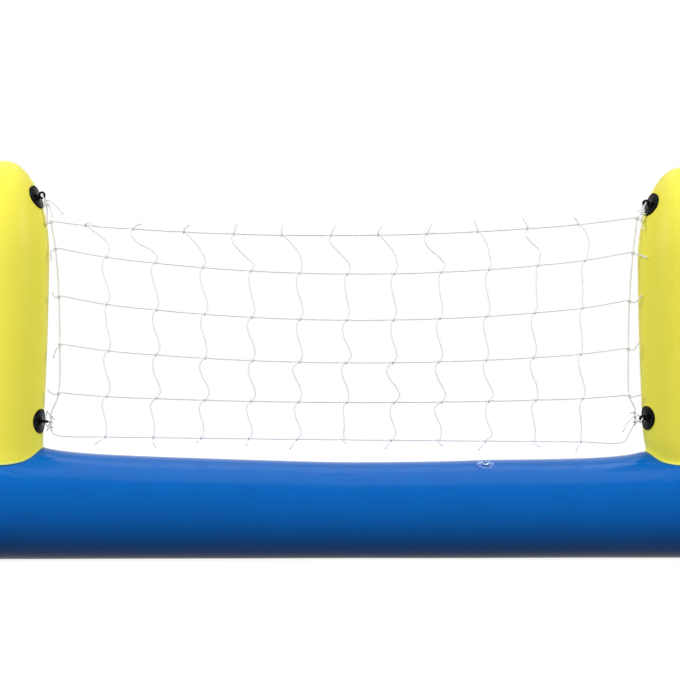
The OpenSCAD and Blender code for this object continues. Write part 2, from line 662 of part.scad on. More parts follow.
// ---- the set, node by node ----
module base_tube() {
    color("royalblue")
        difference() {
            tube_skin();
            valve_hole_base();
        }
}
module left_float() { color("royalblue") cross_float(-1); }
module right_float() { color("royalblue") cross_float(1); }
module left_post() { color("#ece45a") post(-1); }
module right_post() { color("#ece45a") post(1); }
module upper_left_patch() { color("#1c1c1e") patch(0); }
module upper_right_patch() { color("#1c1c1e") patch(1); }
module lower_left_patch() { color("#1c1c1e") patch(2); }
module lower_right_patch() { color("#1c1c1e") patch(3); }
module base_valve() { color("#dfe6ea") base_valve_part(); }
module base_stem() { color("#e8eef0") on_base_valve() valve_stem(); }
module base_plug() { color("#eef2f4") on_base_valve() valve_plug(); }
module left_valve() { color("#dfe6ea") post_valve_part(-1); }
module left_stem() { color("#e8eef0") on_post_valve(-1) valve_stem(); }
module left_plug() { color("#eef2f4") on_post_valve(-1) valve_plug(); }
module right_valve() { color("#dfe6ea") post_valve_part(1); }
module right_stem() { color("#e8eef0") on_post_valve(1) valve_stem(); }
module right_plug() { color("#eef2f4") on_post_valve(1) valve_plug(); }
module head_line() { mesh_line(0); }
module foot_line() { color("white") cord(foot_path, 5); }

base_tube();
left_float();
right_float();
left_post();
right_post();
upper_left_patch();
upper_right_patch();
lower_left_patch();
lower_right_patch();
base_valve();
base_stem();
base_plug();
left_valve();
left_stem();
left_plug();
right_valve();
right_stem();
right_plug();
head_line();
mesh_line(1);  // mesh_line_1
mesh_line(2);  // mesh_line_2
mesh_line(3);  // mesh_line_3
mesh_line(4);  // mesh_line_4
foot_line();
drop_cord(1);  // drop_cord_1
drop_cord(2);  // drop_cord_2
drop_cord(3);  // drop_cord_3
drop_cord(4);  // drop_cord_4
drop_cord(5);  // drop_cord_5
drop_cord(6);  // drop_cord_6
drop_cord(7);  // drop_cord_7
drop_cord(8);  // drop_cord_8
drop_cord(9);  // drop_cord_9
drop_cord(10);  // drop_cord_10
drop_cord(11);  // drop_cord_11
side_line(-1);  // left_side_line
side_line(1);  // right_side_line
tie(0);  // upper_left_tie
tie(1);  // upper_right_tie
tie(2);  // lower_left_tie
tie(3);  // lower_right_tie
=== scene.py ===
"""Looks of an inflatable volleyball set: vinyl tubes, knotted cord net, rope patches, valves."""

import logging
import math
from dataclasses import dataclass
from enum import Enum
from typing import Any, Sequence

import bpy
from mathutils import Matrix, Vector, noise


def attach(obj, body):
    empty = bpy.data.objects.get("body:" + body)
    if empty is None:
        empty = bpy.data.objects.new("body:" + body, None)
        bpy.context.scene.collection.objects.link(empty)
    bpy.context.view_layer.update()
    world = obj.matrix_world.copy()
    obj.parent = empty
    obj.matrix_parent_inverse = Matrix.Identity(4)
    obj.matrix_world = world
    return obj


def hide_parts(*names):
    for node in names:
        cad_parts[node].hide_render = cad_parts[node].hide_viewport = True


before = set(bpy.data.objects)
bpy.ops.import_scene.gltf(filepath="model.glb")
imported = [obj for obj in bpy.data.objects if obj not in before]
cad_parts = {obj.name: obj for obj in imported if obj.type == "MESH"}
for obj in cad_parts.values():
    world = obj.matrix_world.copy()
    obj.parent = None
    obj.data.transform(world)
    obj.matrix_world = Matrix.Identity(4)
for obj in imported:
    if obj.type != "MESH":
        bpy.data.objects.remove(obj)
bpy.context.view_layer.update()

LOG = logging.getLogger("volleyball_set")
BODY = "set"
MM = 0.001

Point = tuple[float, float, float]
Path = list[Vector]
Table = tuple[tuple[float, ...], ...]
Tails = tuple[tuple[Point, ...], ...]


class Side(Enum):
    """The two ends of the set, seen from the front."""

    LEFT = -1
    RIGHT = 1


class Corner(Enum):
    """The four rope patches: name, end, upper or not, lift in mm and spin of the eye in degrees."""

    UPPER_LEFT = ("upper_left", Side.LEFT, True, 2.0, 0.0)
    UPPER_RIGHT = ("upper_right", Side.RIGHT, True, -3.0, 50.0)
    LOWER_LEFT = ("lower_left", Side.LEFT, False, -5.0, 80.0)
    LOWER_RIGHT = ("lower_right", Side.RIGHT, False, 5.0, 30.0)

    def __init__(self, label: str, side: Side, upper: bool, lift: float, spin: float) -> None:
        """Name the values of a corner.

        Args:
            label: Name of the corner, as in the frame's nodes.
            side: End of the set.
            upper: Whether it is one of the upper two.
            lift: Height over its plain place, in millimetres.
            spin: Turn of its eye, in degrees.
        """
        self.label = label
        self.end = side.value
        self.upper = upper
        self.lift = lift
        self.spin = spin


def linear(hex_colour: str) -> tuple[float, float, float, float]:
    """Turn an sRGB hex colour to linear light.

    Args:
        hex_colour: Six hex digits, such as "2b6cc0".

    Returns:
        Linear red, green, blue and an alpha of 1.
    """
    parts = [int(hex_colour[i:i + 2], 16) / 255 for i in (0, 2, 4)]
    return (*[c / 12.92 if c <= 0.04045 else ((c + 0.055) / 1.055) ** 2.4 for c in parts], 1.0)


def sind(degrees: float) -> float:
    """Sine of an angle in degrees."""
    return math.sin(math.radians(degrees))


def cosd(degrees: float) -> float:
    """Cosine of an angle in degrees."""
    return math.cos(math.radians(degrees))


def ease(u: float) -> float:
    """Smooth step from 0 to 1."""
    u = min(1.0, max(0.0, u))
    return u * u * (3 - 2 * u)


def bell(u: float) -> float:
    """Bell curve, 1 at 0 and about a third at 1."""
    return math.exp(-u ** 2)


def rough(x: float, y: float, z: float, seed: float = 0.0) -> float:
    """Steady noise from -1 to 1 at a place given in noise cells."""
    return noise.noise(Vector((x + seed, y - 0.7 * seed, z + 0.3 * seed)))


def add_node(tree: bpy.types.NodeTree, kind: str, settings: dict[str, Any] | None = None,
             links: dict[Any, bpy.types.NodeSocket] | None = None) -> bpy.types.Node:
    """Add a node, set its values and link its inputs.

    Args:
        tree: Node tree of a material or the world.
        kind: Blender's node type name.
        settings: Attribute names, or input names and numbers, with their values.
        links: Input names or numbers, with the output socket that feeds each.

    Returns:
        The new node.
    """
    node = tree.nodes.new(kind)
    for key, value in (settings or {}).items():
        if isinstance(key, str) and hasattr(node, key):
            setattr(node, key, value)
        else:
            node.inputs[key].default_value = value
    for key, socket in (links or {}).items():
        tree.links.new(socket, node.inputs[key])
    return node


def new_material(name: str) -> tuple[bpy.types.Material, bpy.types.NodeTree]:
    """Make an empty node material.

    Args:
        name: The finish's name.

    Returns:
        The material and its cleared node tree.
    """
    material = bpy.data.materials.new(name)
    material.use_nodes = True
    material.node_tree.nodes.clear()
    return material, material.node_tree


def background_share(tree: bpy.types.NodeTree) -> bpy.types.NodeSocket:
    """Add what is 1 for rays that show the background and 0 for rays that carry its light.

    Args:
        tree: Node tree of the paper or the world.

    Returns:
        The share, 1 for rays seen straight, in a gloss or through clear vinyl.
    """
    ray = add_node(tree, "ShaderNodeLightPath")
    share = ray.outputs["Is Camera Ray"]
    for kind in ("Is Glossy Ray", "Is Transmission Ray"):
        share = add_node(tree, "ShaderNodeMath", {"operation": "ADD", "use_clamp": True},
                         {0: share, 1: ray.outputs[kind]}).outputs[0]
    return share


@dataclass(frozen=True)
class VinylFilm:
    """Calendered PVC film, heat welded and blown up: an even gloss over slow waves.

    The film is rolled between hot cylinders, so it mirrors lamps softly and shows faint
    mottling where it has stretched.
    """

    name: str
    colour: str
    stretched: str
    roughness: float
    specular: float
    mottle_mm: float = 90.0
    peel_mm: float = 5.0

    def build(self) -> bpy.types.Material:
        """Build the film's material.

        Returns:
            The material.
        """
        material, tree = new_material(self.name)
        place = add_node(tree, "ShaderNodeTexCoord").outputs["Object"]
        mottle = add_node(tree, "ShaderNodeTexNoise",
                          {"Scale": 1000 / self.mottle_mm, "Detail": 3.0, "Roughness": 0.55},
                          {"Vector": place})
        tone = add_node(tree, "ShaderNodeMix",
                        {"data_type": "RGBA", 6: linear(self.colour), 7: linear(self.stretched)},
                        {"Factor": mottle.outputs["Fac"]})
        gloss = add_node(tree, "ShaderNodeMapRange",
                         {"From Min": 0.3, "From Max": 0.7, "To Min": self.roughness * 0.85,
                          "To Max": self.roughness * 1.25}, {"Value": mottle.outputs["Fac"]})
        peel = add_node(tree, "ShaderNodeTexNoise",
                        {"Scale": 1000 / self.peel_mm, "Detail": 2.0, "Roughness": 0.5}, {"Vector": place})
        peel_bump = add_node(tree, "ShaderNodeBump", {"Strength": 0.12, "Distance": 0.0002},
                             {"Height": peel.outputs["Fac"]})
        wave_bump = add_node(tree, "ShaderNodeBump", {"Strength": 0.2, "Distance": 0.0015},
                             {"Height": mottle.outputs["Fac"], "Normal": peel_bump.outputs["Normal"]})
        shader = add_node(tree, "ShaderNodeBsdfPrincipled",
                          {"IOR": 1.5, "Specular IOR Level": self.specular, "Metallic": 0.0},
                          {"Base Color": tone.outputs[2], "Roughness": gloss.outputs["Result"],
                           "Normal": wave_bump.outputs["Normal"]})
        add_node(tree, "ShaderNodeOutputMaterial", None, {"Surface": shader.outputs["BSDF"]})
        return material


@dataclass(frozen=True)
class MouldedVinyl:
    """Injection-moulded soft PVC: black, with a fine spark-eroded grain under its gloss."""

    name: str
    colour: str
    worn: str
    roughness: float
    specular: float = 0.05
    grain_mm: float = 0.8
    # three smears in 50 mm
    smear_mm: float = 50 / 3

    def build(self) -> bpy.types.Material:
        """Build the moulded vinyl's material.

        Returns:
            The material.
        """
        material, tree = new_material(self.name)
        place = add_node(tree, "ShaderNodeTexCoord").outputs["Object"]
        grain = add_node(tree, "ShaderNodeTexNoise",
                         {"Scale": 1000 / self.grain_mm, "Detail": 2.0, "Roughness": 0.6},
                         {"Vector": place})
        smear = add_node(tree, "ShaderNodeTexNoise",
                         {"Scale": 1000 / self.smear_mm, "Detail": 3.0, "Roughness": 0.6},
                         {"Vector": place})
        tone = add_node(tree, "ShaderNodeMix",
                        {"data_type": "RGBA", 6: linear(self.colour), 7: linear(self.worn)},
                        {"Factor": smear.outputs["Fac"]})
        gloss = add_node(tree, "ShaderNodeMapRange",
                         {"From Min": 0.3, "From Max": 0.7, "To Min": self.roughness * 0.8,
                          "To Max": self.roughness * 1.3}, {"Value": smear.outputs["Fac"]})
        bump = add_node(tree, "ShaderNodeBump", {"Strength": 0.25, "Distance": 0.0001},
                        {"Height": grain.outputs["Fac"]})
        shader = add_node(tree, "ShaderNodeBsdfPrincipled",
                          {"IOR": 1.52, "Specular IOR Level": self.specular},
                          {"Base Color": tone.outputs[2], "Roughness": gloss.outputs["Result"],
                           "Normal": bump.outputs["Normal"]})
        add_node(tree, "ShaderNodeOutputMaterial", None, {"Surface": shader.outputs["BSDF"]})
        return material


@dataclass(frozen=True)
class ClearVinyl:
    """Clear flexible PVC of the valves: moulded, a little milky, with wet-looking glints."""

    name: str
    colour: str
    # nine patches of haze in 50 mm
    haze_mm: float = 50 / 9

    def build(self) -> bpy.types.Material:
        """Build the clear vinyl's material.

        Returns:
            The material.
        """
        material, tree = new_material(self.name)
        place = add_node(tree, "ShaderNodeTexCoord").outputs["Object"]
        haze = add_node(tree, "ShaderNodeTexNoise", {"Scale": 1000 / self.haze_mm, "Detail": 2.0},
                        {"Vector": place})
        gloss = add_node(tree, "ShaderNodeMapRange",
                         {"From Min": 0.3, "From Max": 0.7, "To Min": 0.06, "To Max": 0.14},
                         {"Value": haze.outputs["Fac"]})
        bump = add_node(tree, "ShaderNodeBump", {"Strength": 0.1, "Distance": 0.0002},
                        {"Height": haze.outputs["Fac"]})
        # soft PVC has an IOR of 1.53; 1.2 keeps its thin walls, one behind the other, from going dark
        shader = add_node(tree, "ShaderNodeBsdfPrincipled",
                          {"Base Color": linear(self.colour), "IOR": 1.2, "Transmission Weight": 0.95},
                          {"Roughness": gloss.outputs["Result"], "Normal": bump.outputs["Normal"]})
        add_node(tree, "ShaderNodeOutputMaterial", None, {"Surface": shader.outputs["BSDF"]})
        return material


@dataclass(frozen=True)
class TwistedCord:
    """Laid polyethylene cord: three strands of stiff white fibre, twisted, with a dull sheen."""

    name: str
    colour: str
    # colour of the grooves between the strands, darker as painted shade
    groove_shade: str
    strands: float = 3.0
    # fibres are 0.15 mm apart; drawn 0.5 mm apart so that they show
    fibre_mm: float = 0.5

    def build(self) -> bpy.types.Material:
        """Build the cord's material; the strands follow the tube's own coordinates.

        Returns:
            The material.
        """
        material, tree = new_material(self.name)
        uv = add_node(tree, "ShaderNodeSeparateXYZ", None,
                      {"Vector": add_node(tree, "ShaderNodeUVMap").outputs["UV"]})
        turns = add_node(tree, "ShaderNodeMath", {"operation": "MULTIPLY", 1: self.strands},
                         {0: uv.outputs["X"]})
        lay = add_node(tree, "ShaderNodeMath", {"operation": "SUBTRACT"},
                       {0: turns.outputs[0], 1: uv.outputs["Y"]})
        angle = add_node(tree, "ShaderNodeMath", {"operation": "MULTIPLY", 1: 2 * math.pi},
                         {0: lay.outputs[0]})
        strand = add_node(tree, "ShaderNodeMath", {"operation": "SINE"}, {0: angle.outputs[0]})
        place = add_node(tree, "ShaderNodeTexCoord").outputs["Object"]
        fibre = add_node(tree, "ShaderNodeTexNoise", {"Scale": 1000 / self.fibre_mm, "Detail": 1.0},
                         {"Vector": place})
        height = add_node(tree, "ShaderNodeMath", {"operation": "MULTIPLY_ADD", 1: 0.25},
                          {0: fibre.outputs["Fac"], 2: strand.outputs[0]})
        depth = add_node(tree, "ShaderNodeMapRange", {"From Min": -1.0, "From Max": 0.4},
                         {"Value": strand.outputs[0]})
        # painted shade: the grooves between the strands take the darker groove colour
        tone = add_node(tree, "ShaderNodeMix",
                        {"data_type": "RGBA", 6: linear(self.groove_shade), 7: linear(self.colour)},
                        {"Factor": depth.outputs["Result"]})
        bump = add_node(tree, "ShaderNodeBump", {"Strength": 0.1, "Distance": 0.0002},
                        {"Height": height.outputs[0]})
        # the fibres let light through, so that the cord's shaded side and its knots stay pale
        shader = add_node(tree, "ShaderNodeBsdfPrincipled",
                          {"Roughness": 0.55, "IOR": 1.5, "Specular IOR Level": 0.35,
                           "Subsurface Weight": 0.7, "Subsurface Scale": 0.004,
                           "Subsurface Radius": (1.0, 1.0, 1.0)},
                          {"Base Color": tone.outputs[2], "Normal": bump.outputs["Normal"]})
        add_node(tree, "ShaderNodeOutputMaterial", None, {"Surface": shader.outputs["BSDF"]})
        return material


@dataclass(frozen=True)
class PaperSweep:
    """Matt white background paper, which shows as white and takes a shadow round the set.

    The shadow lies in the near part; the white grows full between the two distances.
    """

    name: str
    colour: str
    near_white: float
    far_white: float = 1.0
    grow_m: tuple[float, float] = (2.0, 5.0)

    def build(self) -> bpy.types.Material:
        """Build the paper's material.

        Returns:
            The material.
        """
        material, tree = new_material(self.name)
        place = add_node(tree, "ShaderNodeTexCoord").outputs["Object"]
        way = add_node(tree, "ShaderNodeVectorMath", {"operation": "LENGTH"}, {0: place})
        white = add_node(tree, "ShaderNodeMapRange",
                         {"interpolation_type": "SMOOTHSTEP", "From Min": self.grow_m[0],
                          "From Max": self.grow_m[1], "To Min": self.near_white, "To Max": self.far_white},
                         {"Value": way.outputs["Value"]})
        glow = add_node(tree, "ShaderNodeMath", {"operation": "MULTIPLY"},
                        {0: background_share(tree), 1: white.outputs["Result"]})
        paper = add_node(tree, "ShaderNodeBsdfDiffuse", {"Color": linear(self.colour)})
        light = add_node(tree, "ShaderNodeEmission", {"Color": (1, 1, 1, 1)}, {"Strength": glow.outputs[0]})
        both = add_node(tree, "ShaderNodeAddShader", None, {0: paper.outputs[0], 1: light.outputs[0]})
        add_node(tree, "ShaderNodeOutputMaterial", None, {"Surface": both.outputs[0]})
        return material


# smooth rolled film: a soft box shows in it as a long blurred streak
BLUE_FILM = VinylFilm("blue_vinyl_film", "0058aa", "0062b6", roughness=0.17, specular=0.08)
# the same film, a little duller: its streaks are wide and pale
YELLOW_FILM = VinylFilm("yellow_vinyl_film", "f1e850", "f4eb58", roughness=0.26, specular=0.06)
# two films pressed flat by the welding bar: dull, with the blue one showing through
WELD_FILM = VinylFilm("welded_yellow_film", "a5bd80", "b1c98e", roughness=0.35, specular=0.1, mottle_mm=12.0)
# a thin dark line along the weld's edge: painted shade under the flange's overhang
WELD_EDGE_SHADE = VinylFilm("weld_edge_painted_shade", "0a3d52", "0c4a5c", roughness=0.4, specular=0.1, mottle_mm=8.0)
# deep black with a few small glints
BLACK_MOULDING = MouldedVinyl("black_moulded_vinyl", "050506", "0c0c0e", roughness=0.14)
# what lies behind shows through, with bright edges
CLEAR_MOULDING = ClearVinyl("clear_moulded_vinyl", "c2daf0")
# white, with painted shade in the slanting grooves between the strands
NET_CORD = TwistedCord("laid_polyethylene_cord", "ececed", "e0e0e2")
# plain white with a soft shadow under the set
PAPER = PaperSweep("white_background_paper", "6a6a6a", 0.88)


def mesh_object(name: str, verts: Sequence[Sequence[float]], faces: Sequence[Sequence[int]],
                materials: Sequence[bpy.types.Material],
                spots: Sequence[int] | None = None) -> bpy.types.Object:
    """Make a smooth-shaded mesh object from points in millimetres.

    Args:
        name: The piece's name.
        verts: Points in millimetres.
        faces: Corner lists.
        materials: The piece's materials.
        spots: Material number of each face.

    Returns:
        The linked object.
    """
    mesh = bpy.data.meshes.new(name)
    mesh.from_pydata([(x * MM, y * MM, z * MM) for x, y, z in verts], [], faces)
    for material in materials:
        mesh.materials.append(material)
    for i, polygon in enumerate(mesh.polygons):
        polygon.use_smooth = True
        if spots:
            polygon.material_index = spots[i]
    mesh.update()
    piece = bpy.data.objects.new(name, mesh)
    bpy.context.collection.objects.link(piece)
    return piece


def skin_rows(rows: Sequence[Sequence[Point]], start: int = 0) -> tuple[list[Point], list[tuple[int, ...]]]:
    """Join rows of points, each closed on itself, with quads.

    Args:
        rows: Rows with the same number of points.
        start: Number of the first point.

    Returns:
        Points and faces.
    """
    count = len(rows[0])
    faces: list[tuple[int, ...]] = []
    for i in range(len(rows) - 1):
        for j in range(count):
            a = start + i * count + j
            b = start + i * count + (j + 1) % count
            faces.append((a, b, b + count, a + count))
    return [p for row in rows for p in row], faces


@dataclass(frozen=True)
class SetSizes:
    """Sizes that the pieces share, in millimetres."""

    # floor tube and cross floats
    post_x: float = 777.0
    tube_r: float = 118.5
    waist_r: float = 110.5
    waist_turn: float = 120.0
    settle: float = 4.0
    float_r: float = 120.0
    float_len: float = 640.0
    float_end: float = 95.0
    float_reach: float = 298.0
    # posts, with the necks they are welded on
    post_top: float = 903.0
    post_r: float = 98.0
    foot_r: float = 83.0
    dome_h: float = 215.0
    taper: float = 1.6
    neck_rise: float = 15.0
    neck_fade: float = 55.0
    neck_r: float = 88.0
    weld_w: float = 3.0
    # rope patches and net
    upper_drop: float = 86.6
    lower_z: float = 316.6
    patch_turn: float = 16.0
    eye_h: float = 12.3
    cord_d: float = 3.0
    mesh: float = 109.5
    # sag of the left and right weld at a post's sides, and its further drop to the front and back
    weld_sag: tuple[float, float] = (-3.0, 5.5)
    weld_drop: tuple[float, float] = (36.0, 33.0)
    drop_share: tuple[float, float] = (0.25, 0.77)
    drop_full: float = 0.8
    # rise of the blown tube's top: at mid length, its slope, where it ends and where the valve holds it
    tube_more: float = 1.2
    tube_slope: float = 0.0072
    rise_past: float = 60.0
    rise_fade: float = 170.0
    valve_x: float = 316.0
    valve_hold: float = 75.0
    # how far a film stands off the one that it is welded on
    stand_off: float = 0.4

    @property
    def tube_z(self) -> float:
        """Height of the floor tube's axis under the posts."""
        return self.tube_r - self.settle

    @property
    def saddle_r(self) -> float:
        """Radius of the surface that a post is welded on."""
        return self.tube_r + self.neck_rise

    @property
    def wide_z(self) -> float:
        """Height of a post's widest place."""
        return self.post_top - self.dome_h

    @property
    def foot_z(self) -> float:
        """Height of a post's foot at its sides."""
        return self.tube_z + self.saddle_r

    def sag(self, side: Side, turn: float) -> float:
        """How much lower a post's weld lies than on a plain saddle, at an angle round the post.

        Args:
            side: The post's end of the set.
            turn: Angle round the post, in degrees.

        Returns:
            Way down in millimetres.
        """
        end = 0 if side is Side.LEFT else 1
        lean = abs(sind(turn))
        plain = self.saddle_r - math.sqrt(self.saddle_r ** 2 - ((self.foot_r + self.weld_w) * lean) ** 2)
        even, late = self.drop_share
        return (self.weld_sag[end] + self.weld_drop[end] * lean * (even + late * ease(lean / self.drop_full))
                - plain)

    def rise(self, x: float) -> float:
        """How much higher the top of the blown tube lies at a station than on the plain one.

        Args:
            x: Way along the tube from its middle, in millimetres.

        Returns:
            The height, in millimetres.
        """
        end = 1 - ease((abs(x) - self.post_x - self.rise_past) / self.rise_fade)
        valve = 1 - bell((x - self.valve_x) / self.valve_hold)
        return (self.tube_more - self.tube_slope * x) * end * valve

    def waist(self, x: float) -> float:
        """How far the floor tube has widened at a distance from its middle."""
        return math.hypot(x, self.waist_turn) - self.waist_turn

    def tube_rad(self, x: float) -> float:
        """Radius of the floor tube at a distance from its middle."""
        flat = self.post_x - self.neck_r
        return self.waist_r + (self.tube_r - self.waist_r) * self.waist(min(abs(x), flat)) / self.waist(flat)

    def post_rad(self, z: float) -> float:
        """Radius of a post at a height.

        Args:
            z: Height over the floor, in millimetres.

        Returns:
            The radius, in millimetres.
        """
        if z >= self.wide_z:
            return self.post_r * math.sqrt(max(0.0, 1 - ((z - self.wide_z) / self.dome_h) ** 2))
        u = min(1.0, max(0.0, (self.wide_z - z) / (self.wide_z - self.foot_z)))
        return self.post_r - (self.post_r - self.foot_r) * u ** self.taper


SIZES = SetSizes()


@dataclass(frozen=True)
class Gathers:
    """Gathers beside a weld: a band of even waves with uneven ones over them, in millimetres."""

    middle: float
    width: float
    even: float
    count: float
    uneven: float

    def height(self, way: float, turn: float, stray: float) -> float:
        """Height of the film's waves at a point beside the weld.

        Args:
            way: Way from the weld.
            turn: Angle round it, in degrees.
            stray: Noise that the uneven waves follow.

        Returns:
            Height over the plain film.
        """
        waves = self.even * cosd(self.count * turn) + self.uneven * stray
        return bell((way - self.middle) / self.width) * waves


@dataclass(frozen=True)
class Crease:
    """A crease of the floor tube beside a post, shallower towards its end.

    Its ends are given as ways along the tube, outward, and over it, from the post's axis.
    """

    side: Side
    start: tuple[float, float]
    end: tuple[float, float]
    half_w: float
    depth: float
    fade: float = 0.6

    def cut(self, along: float, over: float) -> float:
        """Depth of the crease at a point of the film.

        Args:
            along: Way along the tube, outward from the post's axis.
            over: Way over the tube from the post's axis.

        Returns:
            The depth, in millimetres.
        """
        run = (self.end[0] - self.start[0], self.end[1] - self.start[1])
        way = (along - self.start[0], over - self.start[1])
        k = min(1.0, max(0.0, (way[0] * run[0] + way[1] * run[1]) / (run[0] ** 2 + run[1] ** 2)))
        off = math.hypot(way[0] - k * run[0], way[1] - k * run[1])
        return self.depth * (bell(off / self.half_w) * (1 - self.fade * k))


CREASES = (
    Crease(Side.LEFT, (-4, -93), (-62, -109), 5.0, 1.6),
    Crease(Side.LEFT, (-84, -30), (-150, -44), 5.0, 0.9),
    Crease(Side.LEFT, (-70, -70), (-170, -84), 8.0, 0.8),
    Crease(Side.LEFT, (-70, 66), (-150, 80), 6.0, 1.2),
    Crease(Side.LEFT, (60, -78), (150, -92), 6.0, 1.2),
    Crease(Side.LEFT, (64, 70), (140, 82), 6.0, 1.1),
    Crease(Side.RIGHT, (-66, -50), (-136, -56), 4.5, 1.5),
    Crease(Side.RIGHT, (-52, -84), (-150, -96), 7.0, 1.0),
    Crease(Side.RIGHT, (-20, -96), (-96, -122), 6.0, 0.9),
    Crease(Side.RIGHT, (-64, 70), (-160, 78), 6.0, 1.2),
    Crease(Side.RIGHT, (60, -72), (140, -92), 6.0, 1.3),
    Crease(Side.RIGHT, (62, 74), (150, 90), 6.0, 1.1),
)


@dataclass
class FloorTube:
    """The long blue tube, drawn up into a neck under each post."""

    sizes: SetSizes
    sides: int = 160
    block_half: float = 170.0
    mouth_rows: int = 14
    mid_rows: int = 80
    sag_fade: float = 45.0
    # slow unevenness: height, cell
    slow: tuple[float, float] = (0.5, 210.0)
    # long seam: angle, millimetres to a degree; height and half width of its bead and of its gathers
    seam_turn: float = 158.0
    seam_mm: float = 2.0
    bead: tuple[float, float] = (0.9, 3.2)
    tuck: tuple[float, float] = (0.35, 14.0)
    tuck_step: float = 3.4
    # weld to the cross float: height and half width of its waves, waves in a turn, way before it where the
    # tube's height is taken
    mouth: tuple[float, float] = (0.8, 9.0)
    mouth_waves: float = 34.0
    mouth_way: float = 40.0
    # gathers of a post's weld; way in which they start, cells of their uneven waves
    gathers: Gathers = Gathers(7, 11, 0.35, 38, 0.6)
    gather_start: float = 3.0
    gather_cells: Point = (9.0, 26.0, 800.0)
    # long folds that run out from that weld: half width in degrees; start, middle and half width of their
    # way out; then angle round the post and height of each
    fold_deg: float = 7.0
    fold_way: Point = (6.0, 16.0, 34.0)
    folds: Table = ((-122, -0.8), (-98, 0.5), (-68, -0.7), (-38, -0.5), (-150, -0.6), (45, -0.7), (80, -0.5),
                    (120, -0.7), (12, -0.4), (168, -0.4))

    @property
    def turns(self) -> list[float]:
        """Angles of a row's points from the top, in degrees."""
        return [360 * j / self.sides for j in range(-self.sides // 2 + 1, self.sides // 2 + 1)]

    def from_post(self, x: float, a: float) -> tuple[float, float, float, float]:
        """Where a point of the film lies from the post that it is nearer to.

        Args:
            x: Station along the tube.
            a: Angle from the top, in degrees.

        Returns:
            Way outward along the tube, way over it, way past the neck's edge, angle round the post.
        """
        s = self.sizes
        along = abs(x) - s.post_x
        over = s.tube_rad(x) * math.radians(a)
        past = max(0.0, math.hypot(along, over) - s.neck_r)
        return along, over, past, math.degrees(math.atan2(over, along * (1 if x > 0 else -1)))

    def lift(self, x: float, a: float) -> float:
        """Rise of the neck, with the puckers of its weld and the long folds beside it.

        Args:
            x: Station along the tube.
            a: Angle from the top, in degrees.

        Returns:
            Height over the plain tube.
        """
        s = self.sizes
        side = Side.RIGHT if x > 0 else Side.LEFT
        along, over, d, turn = self.from_post(x, a)
        rise = s.neck_rise * math.exp(-d / s.neck_fade)
        for crease in CREASES:
            if crease.side is side:
                rise -= crease.cut(along, over)
        ct, cd, cx = self.gather_cells
        stray = rough(turn / ct, d / cd, x / cx, 3.0)
        pucker = self.gathers.height(d, turn, stray) * min(1.0, d / self.gather_start)
        start, middle, width = self.fold_way
        folds = sum(h * bell((turn - t) / self.fold_deg) * bell((d - middle) / width) * min(1.0, d / start)
                    for t, h in self.folds)
        return rise + pucker + folds

    def sag(self, x: float, a: float) -> float:
        """Way down of the film: the sag of a weld near a post, the tube's own rise away from it.

        Args:
            x: Way along the tube from its middle, in millimetres.
            a: Angle round the tube from its top, in degrees.

        Returns:
            The way down, in millimetres.
        """
        s = self.sizes
        _, _, d, turn = self.from_post(x, a)
        near = math.exp(-d / self.sag_fade)
        side = Side.RIGHT if x > 0 else Side.LEFT
        return s.sag(side, turn) * near - s.rise(x) * (1 - near) * (1 + cosd(a)) / 2

    def grain(self, x: float, a: float) -> float:
        """Slow unevenness of the blown tube and the raised bead of its long seam.

        Args:
            x: Way along the tube from its middle, in millimetres.
            a: Angle round the tube from its top, in degrees.

        Returns:
            Height over the plain film, in millimetres.
        """
        way = (a - self.seam_turn) * self.seam_mm
        return (self.slow[0] * rough(x / self.slow[1], sind(a), cosd(a), 11.0)
                + self.bead[0] * bell(way / self.bead[1])
                + self.tuck[0] * bell(way / self.tuck[1]) * math.cos(x / self.tuck_step))

    def skin(self, x: float, a: float) -> Point:
        """A point of the tube's skin at a station and an angle from the top.

        Args:
            x: Way along the tube from its middle, in millimetres.
            a: Angle round the tube from its top, in degrees.

        Returns:
            The point, in millimetres.
        """
        s = self.sizes
        r = s.tube_rad(x) + self.lift(x, a) + self.grain(x, a)
        return (x, r * sind(a), max(0.0, s.tube_rad(x) - s.settle + r * cosd(a) - self.sag(x, a)))

    def block_point(self, side: int, i: int, j: int, h: int) -> Point:
        """A grid point of the square block round a post, its inner rings laid on the neck.

        Args:
            side: -1 for the left post, 1 for the right one.
            i: Number along the tube from the post's axis.
            j: Number over the tube from its top.
            h: Number of the block's edge.

        Returns:
            The point.
        """
        s = self.sizes
        k = max(abs(i), abs(j))
        rings = h // 2
        if k == 0:
            turn = 0.0
        elif abs(i) == k:
            turn = 45 * j / k if i > 0 else 180 - 45 * j / k
        else:
            turn = 90 - 45 * i / k if j > 0 else -90 + 45 * i / k
        rr = s.neck_r * min(1.0, k / rings)
        w = max(0.0, (k - rings) / (h - rings))
        q = max(1, k)
        cx = rr * cosd(turn)
        ca = math.degrees(math.asin(rr * sind(turn) / s.saddle_r))
        return self.skin(side * s.post_x + (1 - w) * cx + w * i / q * self.block_half,
                         (1 - w) * ca + w * 90 * j / q)

    def block_row(self, side: int, i: int) -> list[Point]:
        """A row of the block round a post, closed under the tube.

        Args:
            side: -1 for the left post, 1 for the right one.
            i: Number along the tube from the post's axis.

        Returns:
            The points of the row.
        """
        h = self.sides // 4
        return [self.block_point(side, i, j, h) if abs(j) <= h
                else self.skin(side * self.sizes.post_x + i * self.block_half / h, 360 * j / self.sides)
                for j in range(-self.sides // 2 + 1, self.sides // 2 + 1)]

